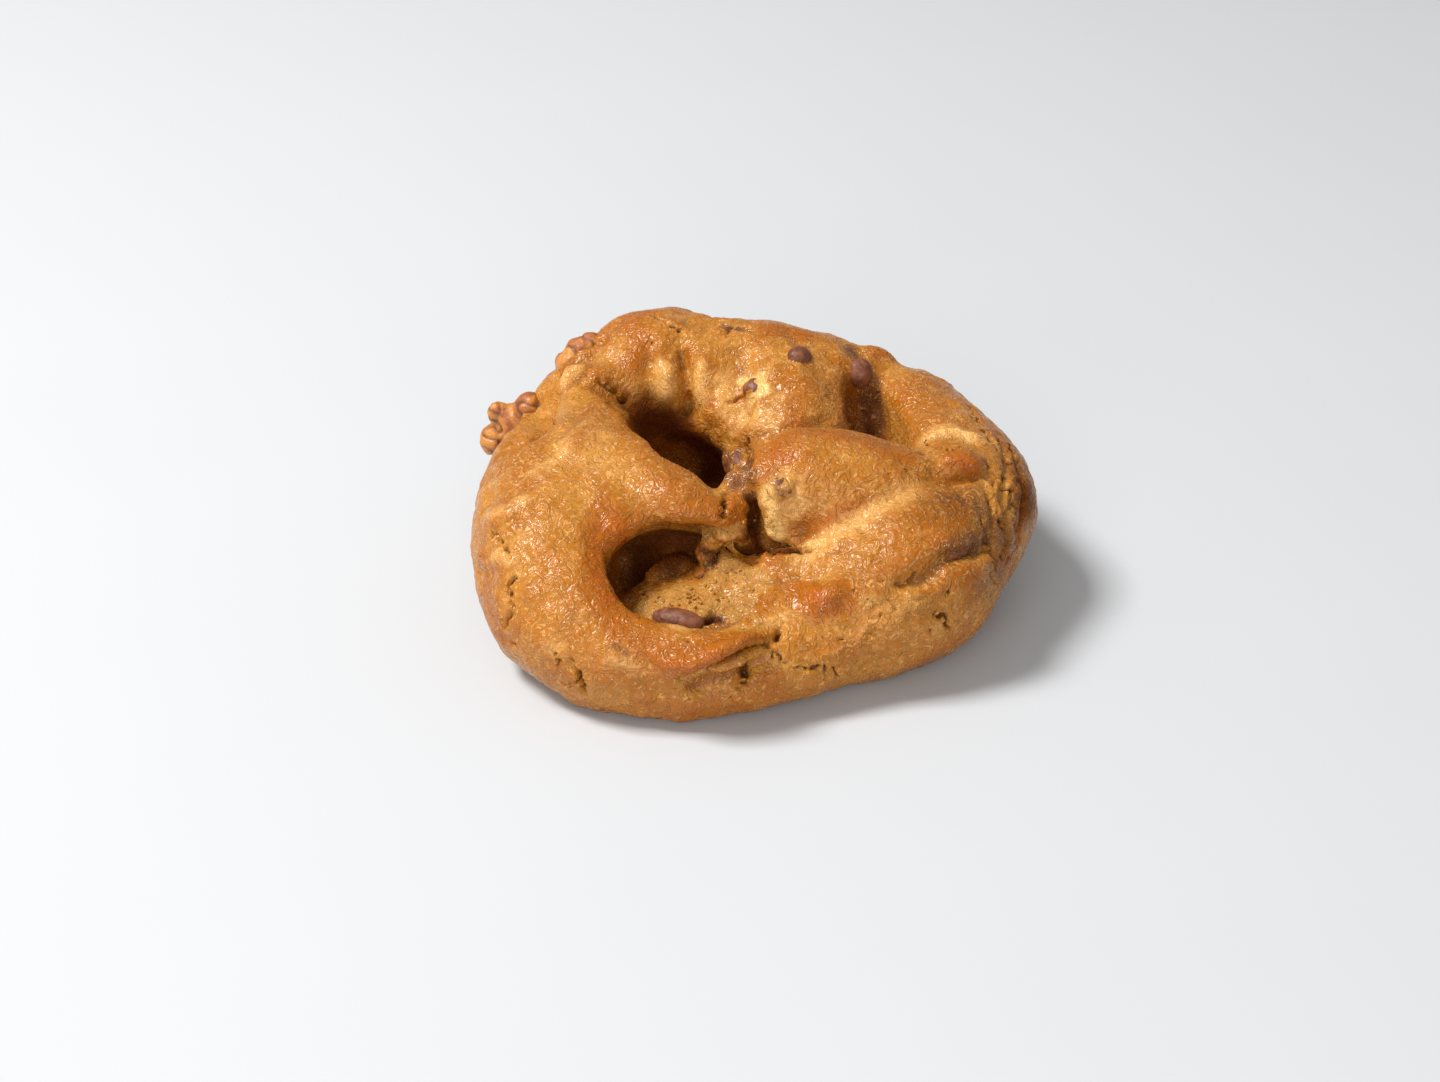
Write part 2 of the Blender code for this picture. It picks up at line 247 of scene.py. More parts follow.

# Small round holes in the crust, darkened with painted shade
PIT_PLACES = (
    (565, 637), (512, 643), (876, 610), (881, 615), (888, 618), (896, 608), (882, 631),
    (910, 630), (930, 631), (904, 655), (975, 622), (864, 569), (849, 575), (854, 588),
    (853, 596), (803, 679), (797, 683), (686, 640), (703, 340), (696, 352), (704, 350),
    (676, 366), (650, 342), (807, 415), (862, 412), (816, 436), (905, 470), (985, 434),
    (996, 428), (1008, 452), (906, 583), (872, 560), (880, 548), (950, 590), (960, 600),
    (990, 590), (560, 500), (548, 515), (590, 470), (604, 490), (530, 640), (615, 690),
    (655, 700), (690, 700), (768, 668), (820, 690), (920, 600), (842, 640), (868, 600),
)
PIT_SIZES = (0.32, 0.55, 0.4, 0.7, 0.36, 0.48, 0.3)
PIT_STEEPNESS = 1.5
PITS = tuple(
    Trace(Mark.PIT, (place,), size, size * PIT_STEEPNESS)
    for place, size in zip(PIT_PLACES, cycle(PIT_SIZES))
)

# Broader folds, dents and bumps of the skin
RELIEF = (
    *traces(
        Mark.GROOVE,
        (1.8, 0.8, (601, 382), (624, 399)),
        (1.5, 1.9, (684, 680), (711, 670), (742, 653), (760, 648)),
        (7.5, 4.8, (539, 399), (533, 411), (526, 422), (515, 434)),
        (4.5, 1.8, (546, 408), (533, 428), (512, 445)),
        (4.5, 2.8, (592, 344), (586, 352), (578, 360)),
        (3.4, 1.1, (603, 331), (614, 324)),
        (1.2, 0.6, (592, 368), (574, 386), (558, 400)),
        (1.0, 0.9, (561, 370), (568, 388)),
        (1.0, 0.9, (571, 365), (578, 383)),
        (1.0, 0.8, (581, 362), (588, 378)),
        (3.4, 2.3, (739, 450), (742, 464), (736, 478)),
        (2.2, 2.4, (706, 558), (716, 551), (736, 549)),
        (1.6, 1.5, (720, 547), (735, 548), (750, 549)),
        (1.3, 0.8, (1000, 440), (1007, 470), (1001, 500), (1009, 540)),
        (1.3, 0.7, (984, 485), (993, 512), (986, 540), (996, 566)),
        (1.1, 0.8, (1014, 455), (1023, 490), (1019, 530)),
        (1.6, 0.5, (884, 500), (908, 490), (930, 500)),
        (1.5, 1.6, (683, 355), (687, 375), (688, 412)),
        (2.0, 0.7, (648, 348), (647, 372), (650, 396)),
        (1.0, 0.4, (728, 404), (738, 400), (744, 395)),
        (1.2, 0.8, (800, 549), (826, 545)),
        (2.0, 0.9, (902, 583), (922, 580), (942, 562), (960, 555), (985, 548)),
        (1.3, 0.9, (930, 470), (950, 480), (975, 478)),
        (1.8, 0.7, (478, 574), (490, 572)),
        (2.4, 0.8, (858, 352), (872, 385), (884, 425)),
        (1.2, 0.7, (770, 583), (785, 580), (799, 576)),
        (2.2, 0.4, (830, 535), (870, 505), (900, 492)),
    ),
    *traces(
        Mark.BUMP,
        (2.4, 0.9, (672, 668), (705, 660), (740, 643)),
        (5.5, 0.8, (580, 382), (592, 376), (603, 374)),
        (4.0, 0.5, (603, 400), (592, 410)),
        (3.8, 0.5, (799, 360)),
        (3.8, 0.5, (867, 377)),
        (2.8, 0.35, (752, 388)),
        (2.4, 0.5, (950, 545), (978, 536)),
        (1.8, 0.7, (655, 658), (690, 664), (722, 652), (750, 640)),
        (2.6, 1.0, (666, 372), (667, 396)),
        (2.4, 1.0, (702, 364), (702, 395)),
        (3.0, 0.6, (764, 372), (762, 400), (752, 430)),
        (2.6, 0.6, (945, 570), (975, 572), (990, 562)),
        (2.6, 0.7, (810, 590), (822, 602), (832, 596)),
        (2.0, 1.1, (928, 441), (950, 434), (975, 438)),
        (2.2, 0.8, (950, 462), (968, 462), (978, 464)),
        (3.0, 0.7, (488, 520), (505, 512), (520, 502)),
        (2.6, 0.8, (498, 556)),
        (3.4, 0.9, (558, 384), (572, 373)),
        (2.0, 0.6, (592, 350), (600, 346)),
        (1.0, 0.5, (745, 505), (754, 515), (752, 530), (754, 542)),
    ),
)

# Where the crust is browned, pale, torn, glossy or stained with chocolate,
# and where shade and highlights are painted into its colour
TINTS = (
    *traces(
        Mark.BROWN,
        (5.0, 0.9, (628, 322), (640, 312), (655, 309)),
        (5.0, 0.9, (770, 330), (800, 335), (850, 342)),
        (3.5, 0.9, (868, 343), (892, 352)),
        (3.5, 0.6, (900, 362), (935, 382), (975, 412), (1010, 450)),
        (5.0, 0.35, (597, 388), (588, 430), (570, 470)),
        # painted shade: the darker, redder inner wall of the front hollow, which faces away from
        # the light
        (5.0, 1.0, (606, 520), (603, 560), (606, 600), (616, 620)),
        (5.0, 1.0, (600, 515), (595, 545), (597, 580), (606, 606), (622, 626)),
        (4.0, 1.0, (640, 645), (680, 656), (720, 650), (752, 636)),
        (8.0, 0.65, (1005, 425), (1022, 480), (1018, 530), (1000, 570)),
        (5.5, 1.3, (804, 594), (820, 604), (836, 600)),
        (4.0, 0.9, (770, 450), (800, 433), (850, 436), (905, 456)),
        (5.0, 0.5, (780, 520), (800, 535), (830, 522)),
        (3.6, 1.0, (950, 460), (975, 466)),
        (5.0, 0.3, (865, 652), (905, 652)),
        (5.0, 0.6, (650, 705), (700, 712), (740, 705)),
        (5.0, 0.7, (470, 520), (470, 560)),
        (1.6, 0.8, (688, 350), (688, 400)),
        (4.0, 0.6, (640, 420), (690, 424)),
        (4.5, 0.8, (700, 500), (722, 510)),
        (4.0, 0.6, (640, 512), (680, 524)),
        # painted shade: darker brown where the flap's fold turns down under its sheen
        (4.0, 0.8, (786, 522), (826, 524), (858, 503)),
        (4.5, 0.8, (632, 320), (640, 345), (632, 368)),
        (6.0, 0.22, (560, 600), (580, 640), (620, 690)),
        (5.0, 0.6, (482, 560), (490, 600), (505, 640)),
        (4.0, 1.0, (738, 500), (736, 520), (726, 538)),
    ),
    *traces(
        Mark.RED,
        # painted shade: the redder inner wall of the front hollow, which faces away from the light
        (4.5, 1.0, (618, 530), (616, 560), (620, 595)),
        (2.8, 0.7, (600, 525), (597, 555), (600, 585), (610, 606)),
        (3.0, 0.7, (660, 664), (690, 668), (716, 658)),
        (3.6, 0.85, (812, 600), (828, 606)),
        (3.0, 0.8, (776, 452), (786, 458)),
        (2.6, 0.8, (958, 462), (972, 468)),
        (4.0, 0.6, (650, 420), (690, 430)),
        (2.6, 0.6, (718, 576), (730, 582)),
        (1.6, 0.9, (726, 404), (738, 400), (745, 396)),
        (2.2, 0.5, (766, 584), (785, 580)),
        (3.0, 0.5, (730, 512), (716, 540)),
        (3.6, 0.55, (690, 575), (706, 568), (724, 572)),
    ),
    *traces(
        Mark.PALE_AND_SHEEN,
        # painted highlight: the two lobes on the ridge's face
        (3.4, 1.2, (663, 370), (665, 390)),
        (3.4, 1.1, (700, 370), (703, 398)),
        (4.5, 0.9, (722, 380), (728, 410), (746, 418), (768, 420)),
        (3.5, 0.6, (775, 395), (780, 420)),
        # pale torn face of the flap, with painted light where it faces the lamp
        (4.2, 1.3, (768, 494), (785, 484), (794, 502), (778, 522), (772, 532)),
        (2.0, 1.0, (806, 546), (824, 542)),
        (4.2, 1.0, (925, 440), (950, 430), (975, 438)),
        (3.5, 0.5, (850, 520), (885, 510)),
        (3.6, 0.6, (486, 522), (505, 512), (525, 500)),
        (2.6, 0.8, (494, 556), (508, 560)),
        (3.4, 0.5, (545, 645), (560, 648)),
        (3.4, 0.6, (612, 660), (630, 668)),
        (5.0, 0.3, (575, 500), (590, 520)),
        (3.5, 0.5, (770, 625), (790, 615)),
        # painted sheen along the upper side of the fold
        (4.6, 0.95, (800, 557), (840, 531), (880, 507), (908, 492)),
        (6.0, 0.5, (600, 425), (590, 455), (612, 470)),
        (5.0, 0.55, (540, 470), (560, 455), (590, 420)),
        (1.6, 0.6, (706, 538), (724, 539), (740, 536)),
        (2.6, 0.9, (560, 384), (578, 373)),
        (2.2, 0.8, (590, 352), (598, 346)),
        (2.2, 1.0, (742, 382), (760, 378), (766, 392), (752, 400)),
    ),
    *traces(
        Mark.CRUMB,
        (4.6, 1.0, (650, 605), (690, 592), (730, 570), (760, 580), (735, 605), (700, 610)),
        (3.0, 1.2, (768, 492), (769, 508), (771, 522), (775, 534)),
        (2.8, 0.65, (930, 440), (955, 434), (972, 442)),
        (4.0, 0.5, (870, 600), (900, 610), (930, 600)),
        (3.6, 0.45, (990, 440), (1010, 490), (1010, 550)),
        (2.6, 0.8, (735, 618), (748, 612), (760, 622)),
        (2.4, 0.9, (706, 536), (724, 534), (738, 530)),
        (2.4, 1.1, (742, 382), (760, 378), (766, 392), (752, 400)),
        (1.4, 0.9, (810, 544), (824, 541)),
    ),
    *traces(
        Mark.CHOCOLATE_AND_SHADE,
        # painted shade: a broad, weak stain that darkens the right side, which turns from the
        # light
        (9.0, 0.44, (1004, 440), (1022, 490), (1012, 545), (985, 585)),
        (4.8, 0.72, (852, 350), (862, 362), (868, 382), (872, 405), (876, 430)),
        (2.2, 0.8, (846, 348), (858, 352)),
        (3.6, 0.45, (905, 584), (925, 578), (945, 562), (965, 548), (978, 545)),
        (5.4, 0.72, (952, 549), (968, 544), (984, 536)),
        (5.0, 0.3, (970, 490), (990, 520)),
        # painted shade: another broad, weak stain darkening the right side
        (9.0, 0.5, (944, 498), (975, 503), (998, 530)),
        (4.2, 0.66, (664, 574), (684, 562)),
        (2.4, 1.0, (712, 620), (720, 618)),
        (6.0, 0.36, (818, 372), (832, 396), (846, 420)),
        (3.6, 1.0, (714, 452), (728, 462), (744, 462)),
        (2.6, 0.9, (735, 474), (746, 462), (748, 450)),
        (2.4, 0.9, (702, 552), (712, 558), (706, 566)),
        (2.0, 0.8, (625, 408), (636, 425), (646, 438)),
        (2.4, 0.8, (700, 474), (720, 481)),
        (2.2, 0.42, (766, 584), (785, 580), (799, 577)),
        (1.6, 1.0, (716, 622), (722, 620)),
        (1.7, 0.9, (697, 556), (708, 560), (712, 566)),
        (1.9, 0.45, (562, 436), (574, 426), (588, 412)),
        (2.4, 0.35, (512, 470), (528, 462)),
        (2.0, 0.6, (616, 646), (626, 652)),
        (1.6, 0.35, (545, 646), (552, 650)),
        (2.6, 0.35, (660, 318), (690, 325), (720, 320)),
        (1.6, 0.7, (722, 326), (742, 330)),
        (2.0, 0.55, (778, 490), (786, 494)),
        (2.2, 0.45, (722, 572), (735, 568)),
        (1.8, 0.5, (885, 400), (890, 430)),
        (2.0, 0.4, (985, 470), (1000, 478)),
        (3.0, 0.62, (746, 494), (748, 514), (744, 534)),
        (3.6, 0.85, (716, 474), (734, 482), (750, 476)),
        (2.2, 0.4, (660, 318), (680, 324), (704, 330)),
        (2.6, 0.4, (792, 354), (806, 362)),
    ),
    *traces(
        Mark.GLOSS,
        (2.6, 0.9, (735, 474), (746, 462), (748, 450)),
        (3.0, 1.0, (560, 384), (578, 373)),
        (2.6, 1.0, (742, 382), (760, 378), (752, 400)),
        (3.0, 1.0, (728, 396), (738, 408), (752, 418)),
        (2.6, 0.8, (665, 372), (666, 390)),
        (2.6, 0.7, (702, 372), (704, 396)),
        (3.0, 0.7, (488, 522), (522, 500)),
        (2.6, 0.8, (498, 558)),
        (3.0, 0.6, (640, 660), (690, 670), (720, 658)),
        (2.2, 1.0, (738, 612), (752, 622)),
        (1.8, 1.0, (816, 549), (830, 542), (846, 536)),
        (4.0, 1.0, (712, 455), (745, 470)),
        (3.0, 0.6, (560, 380), (590, 372)),
        (3.6, 1.0, (664, 572), (684, 560)),
    ),
    *traces(
        Mark.SHADE,
        (2.4, 0.3, (606, 530), (603, 560), (606, 590)),
        (3.2, 0.2, (716, 456), (730, 468), (745, 468)),
        (5.0, 0.5, (866, 400), (876, 415), (884, 432)),
        (2.8, 0.5, (945, 553), (960, 549), (976, 546)),
        (14.0, 0.44, (935, 505), (970, 515), (1000, 545)),
        (12.0, 0.72, (1015, 440), (1028, 500), (1016, 570)),
        (10.0, 0.36, (925, 600), (965, 595), (985, 590)),
        (1.5, 0.9, (711, 621), (719, 618)),
        (1.8, 0.7, (702, 552), (714, 552), (706, 562)),
        (2.6, 0.3, (799, 360)),
        (3.0, 0.4, (864, 372), (870, 384)),
        (9.0, 1.0, (640, 415), (665, 424), (690, 436), (712, 455), (716, 476)),
        (6.2, 1.0, (640, 572), (646, 552), (664, 540), (690, 536)),
        (6.0, 0.9, (640, 550), (670, 560), (690, 545)),
        (4.0, 0.6, (872, 430), (885, 438)),
        (2.6, 1.0, (755, 500), (754, 528), (757, 549), (776, 552), (795, 550)),
        (1.3, 0.6, (700, 676), (722, 666), (745, 654)),
        (2.4, 0.75, (748, 500), (749, 518), (746, 538)),
    ),
)

# Swellings too small for the model's own solid
LUMPS = (
    Lump((774, 502), (3.3, 2.6, 2.8), -2.9),
    Lump((773, 517), (3.4, 2.6, 2.8), -2.9),
    Lump((773, 532), (3.4, 2.6, 2.6), -2.8),
    Lump((674, 568), (3.9, 2.3, 2.7), 0.7, 25.0),
    Lump((660, 579), (2.7, 2.0, 1.9), 0.4, -20.0),
    Lump((722, 579), (2.6, 2.2, 0.8), 0.1, 10.0),
    Lump((724, 534), (2.6, 1.8, 1.3), 0.3, 15.0),
    Lump((760, 562), (3.4, 2.4, 1.7), 0.2),
    Lump((777, 560), (3.6, 2.4, 1.7), 0.2),
    Lump((794, 557), (3.2, 2.2, 1.5), 0.1),
    Lump((599, 381), (3.4, 3.0, 2.4), 0.3, 30.0),
    Lump((588, 376), (3.2, 3.0, 2.2), 0.0, 30.0),
)

# How deep the dough's skin lies under each chip, in millimetres: the deeper, the barer the chip
BARE = {
    "chip_ridge": 0.24,
    "chip_valley": 0.22,
    "chip_lobe": 0.02,
    "chip_flap": -0.10,
    "chip_floor": 0.34,
    "chip_hollow": -0.04,
    "chip_side": -0.08,
}

# Round which places of the view the loose grains lie
SUGAR_PLACES = (
    (738, 612), (750, 618), (744, 624), (708, 625), (730, 592), (812, 545), (822, 543),
)
CRUMB_PLACES = (
    (660, 600), (684, 594), (712, 585), (734, 572), (744, 588), (722, 604), (690, 606),
    (757, 522),
)


def welded(node: Object) -> BMesh:
    """The node's own mesh with its split corners joined.

    Args:
        node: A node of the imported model.

    Returns:
        A new mesh in edit form.
    """
    form = bmesh.new()
    form.from_mesh(node.data)
    bmesh.ops.remove_doubles(form, verts=form.verts, dist=0.002 * MM)
    return form


def piece_of(form: BMesh, name: str) -> Object:
    """Turn an edit form into an object in the scene.

    Args:
        form: The edit form, which is used up.
        name: The object's name.

    Returns:
        The object.
    """
    mesh = bpy.data.meshes.new(name)
    form.to_mesh(mesh)
    form.free()
    made = bpy.data.objects.new(name, mesh)
    bpy.context.scene.collection.objects.link(made)
    return made


def softened(
    form: BMesh, name: str, voxel: float, rounds: int
) -> Object:
    """Make a piece with an even, softened skin.

    Args:
        form: The edit form, which is used up.
        name: The piece's name.
        voxel: Size of the new skin's faces, in millimetres.
        rounds: How often the skin is smoothed.

    Returns:
        The piece, with its modifiers turned into its own mesh.
    """
    piece = piece_of(form, name)
    piece.modifiers.new("round off", "SUBSURF").levels = 1
    skin = piece.modifiers.new("even skin", "REMESH")
    skin.mode = "VOXEL"
    skin.voxel_size = voxel * MM
    smooth = piece.modifiers.new("soften", "SMOOTH")
    smooth.factor = 0.5
    smooth.iterations = rounds
    bpy.context.view_layer.update()
    graph = bpy.context.evaluated_depsgraph_get()
    mesh = bpy.data.meshes.new_from_object(piece.evaluated_get(graph))
    piece.modifiers.clear()
    old = piece.data
    piece.data = mesh
    bpy.data.meshes.remove(old)
    return piece


def tree_of(mesh: Mesh) -> BVHTree:
    """The mesh's faces, for lines of sight and nearest places."""
    return BVHTree.FromPolygons(
        [vertex.co for vertex in mesh.vertices],
        [face.vertices for face in mesh.polygons],
    )


def vertices_of(mesh: Mesh) -> np.ndarray:
    """The mesh's points, in millimetres."""
    places = np.empty(len(mesh.vertices) * 3)
    mesh.vertices.foreach_get("co", places)
    return places.reshape(-1, 3) / MM


def normals_of(mesh: Mesh) -> np.ndarray:
    """The direction that each of the mesh's points faces."""
    normals = np.empty(len(mesh.vertices) * 3)
    mesh.vertex_normals.foreach_get("vector", normals)
    return normals.reshape(-1, 3)


def move_vertices(mesh: Mesh, places: np.ndarray) -> None:
    """Put the mesh's points at these places, given in millimetres."""
    mesh.vertices.foreach_set("co", (places * MM).ravel())
    mesh.update()


def gap_to_line(places: np.ndarray, points: np.ndarray) -> np.ndarray:
    """How far each place is from a line.

    Args:
        places: Rows of x, y, z.
        points: The line's points, as rows.

    Returns:
        One distance for each place.
    """
    if len(points) == 1:
        return np.linalg.norm(places - points[0], axis=1)
    nearest = np.full(len(places), np.inf)
    for start, end in zip(points, points[1:]):
        along = end - start
        length = max(float(along @ along), 1e-9)
        share = np.clip((places - start) @ along / length, 0, 1)
        gap = np.linalg.norm(places - start - share[:, None] * along, axis=1)
        nearest = np.minimum(nearest, gap)
    return nearest


def grain(places: np.ndarray, length: float, seed: float = 0.0) -> np.ndarray:
    """Smooth noise at each place.

    Args:
        places: Rows of x, y, z in millimetres.
        length: Size of the noise's lumps, in millimetres.
        seed: Moves the noise to another part of its field.

    Returns:
        Values from about -1 to 1.
    """
    offset = Vector((seed, seed * 1.7, -seed))
    return np.array([noise.noise(Vector(place) / length + offset) for place in places])


def eased(share: np.ndarray) -> np.ndarray:
    """A share from 0 to 1 with soft ends."""
    return share * share * (3 - 2 * share)


def write_attribute(mesh: Mesh, name: str, values: np.ndarray) -> None:
    """Store one value for each point of the mesh."""
    layer = mesh.attributes.new(name, "FLOAT", "POINT")
    layer.data.foreach_set("value", np.clip(values, 0, 1).astype(np.float32))


def crests(
    mesh: Mesh, places: np.ndarray, normals: np.ndarray, rounds: int
) -> np.ndarray:
    """How far each point stands above the smoothed skin round it.

    Args:
        mesh: The skin.
        places: Its points, in millimetres.
        normals: The direction that each faces.
        rounds: How often the skin is averaged.

    Returns:
        Heights in millimetres, negative in a hollow.
    """
    ends = np.empty(len(mesh.edges) * 2, dtype=np.int64)
    mesh.edges.foreach_get("vertices", ends)
    first, second = ends.reshape(-1, 2).T
    count = len(places)
    share = np.bincount(first, minlength=count) + np.bincount(second, minlength=count)
    share = np.maximum(share, 1)
    level = places.copy()
    for _ in range(rounds):
        for axis in range(3):
            total = np.bincount(first, level[second, axis], count)
            total += np.bincount(second, level[first, axis], count)
            level[:, axis] = total / share
    return ((places - level) * normals).sum(axis=1)


@dataclass
class Scatter:
    """Cracks, pits and patches on the sides that the photograph doesn't show.

    Reaches and depths are in millimetres, each drawn between its two values.
    """

    seed: int = 11
    cracks: int = 46
    crack_reach: Pair = (0.5, 0.9)
    crack_depth: Pair = (0.8, 1.7)
    pits: int = 120
    pit_reach: Pair = (0.4, 0.7)
    pit_depth: Pair = (0.5, 1.0)
    patches: int = 26
    patch_marks: tuple[Mark, ...] = (Mark.BROWN, Mark.PALE_AND_SHEEN, Mark.BROWN, Mark.RED)
    patch_reach: Pair = (3.0, 6.0)
    patch_strength: Pair = (0.5, 0.9)
    steps: int = 5
    stride: float = 1.7
    wander: float = 0.8
    lowest: float = 2.5
    behind: float = 1.5

    def hidden(self, tree: BVHTree, place: Vector) -> bool:
        """Whether the skin hides this place from the photograph's viewpoint.

        Args:
            tree: The skin, for lines of sight.
            place: A place on the skin, in metres.

        Returns:
            True where the line of sight meets other skin first.
        """
        sight = place - PHOTO.place()
        hit, _, _, reach = tree.ray_cast(PHOTO.place(), sight.normalized())
        return hit is None or reach < sight.length - self.behind * MM

    def hidden_start(
        self, mesh: Mesh, tree: BVHTree, draw: random.Random
    ) -> tuple[Vector, Vector]:
        """Find a place that the photograph doesn't show.

        Args:
            mesh: The skin.
            tree: The skin, for lines of sight.
            draw: The seeded draw.

        Returns:
            The place, and the direction that it faces.
        """
        while True:
            vertex = mesh.vertices[draw.randrange(len(mesh.vertices))]
            if vertex.co.z < self.lowest * MM:
                continue
            if self.hidden(tree, vertex.co):
                return vertex.co.copy(), vertex.normal.copy()

    def walk(
        self, tree: BVHTree, start: Vector, normal: Vector, draw: random.Random
    ) -> np.ndarray:
        """Run a wandering line over the skin.

        Args:
            tree: The skin.
            start: Where the line begins.
            normal: The direction that the skin faces there.
            draw: The seeded draw.

        Returns:
            Rows of x, y, z in millimetres.
        """
        turn = normal.orthogonal().normalized()
        turn.rotate(Quaternion(normal, draw.uniform(0, 2 * math.pi)))
        found = [start]
        for _ in range(draw.randrange(2, self.steps)):
            turn.rotate(Quaternion(normal, draw.uniform(-self.wander, self.wander)))
            reached, normal, _, _ = tree.find_nearest(found[-1] + turn * self.stride * MM)
            found.append(reached)
            turn = (turn - normal * turn.dot(normal)).normalized()
        return np.array([tuple(place / MM) for place in found])

    def marks(self, mesh: Mesh, tree: BVHTree) -> list[tuple[Trace, np.ndarray]]:
        """The scattered marks with their places.

        Args:
            mesh: The skin.
            tree: The skin, for lines of sight and nearest places.

        Returns:
            Each mark with its places in millimetres.
        """
        draw = random.Random(self.seed)
        made = []
        for _ in range(self.cracks):
            start, normal = self.hidden_start(mesh, tree, draw)
            sizes = draw.uniform(*self.crack_reach), draw.uniform(*self.crack_depth)
            places = self.walk(tree, start, normal, draw)
            if all(self.hidden(tree, Vector(place) * MM) for place in places):
                made.append((Trace(Mark.CRACK, (), *sizes), places))
        for _ in range(self.pits):
            start, _ = self.hidden_start(mesh, tree, draw)
            sizes = draw.uniform(*self.pit_reach), draw.uniform(*self.pit_depth)
            made.append((Trace(Mark.PIT, (), *sizes), np.array([tuple(start / MM)])))
        for _, mark in zip(range(self.patches), cycle(self.patch_marks)):
            start, normal = self.hidden_start(mesh, tree, draw)
            sizes = draw.uniform(*self.patch_reach), draw.uniform(*self.patch_strength)
            made.append((Trace(mark, (), *sizes), self.walk(tree, start, normal, draw)))
        return made


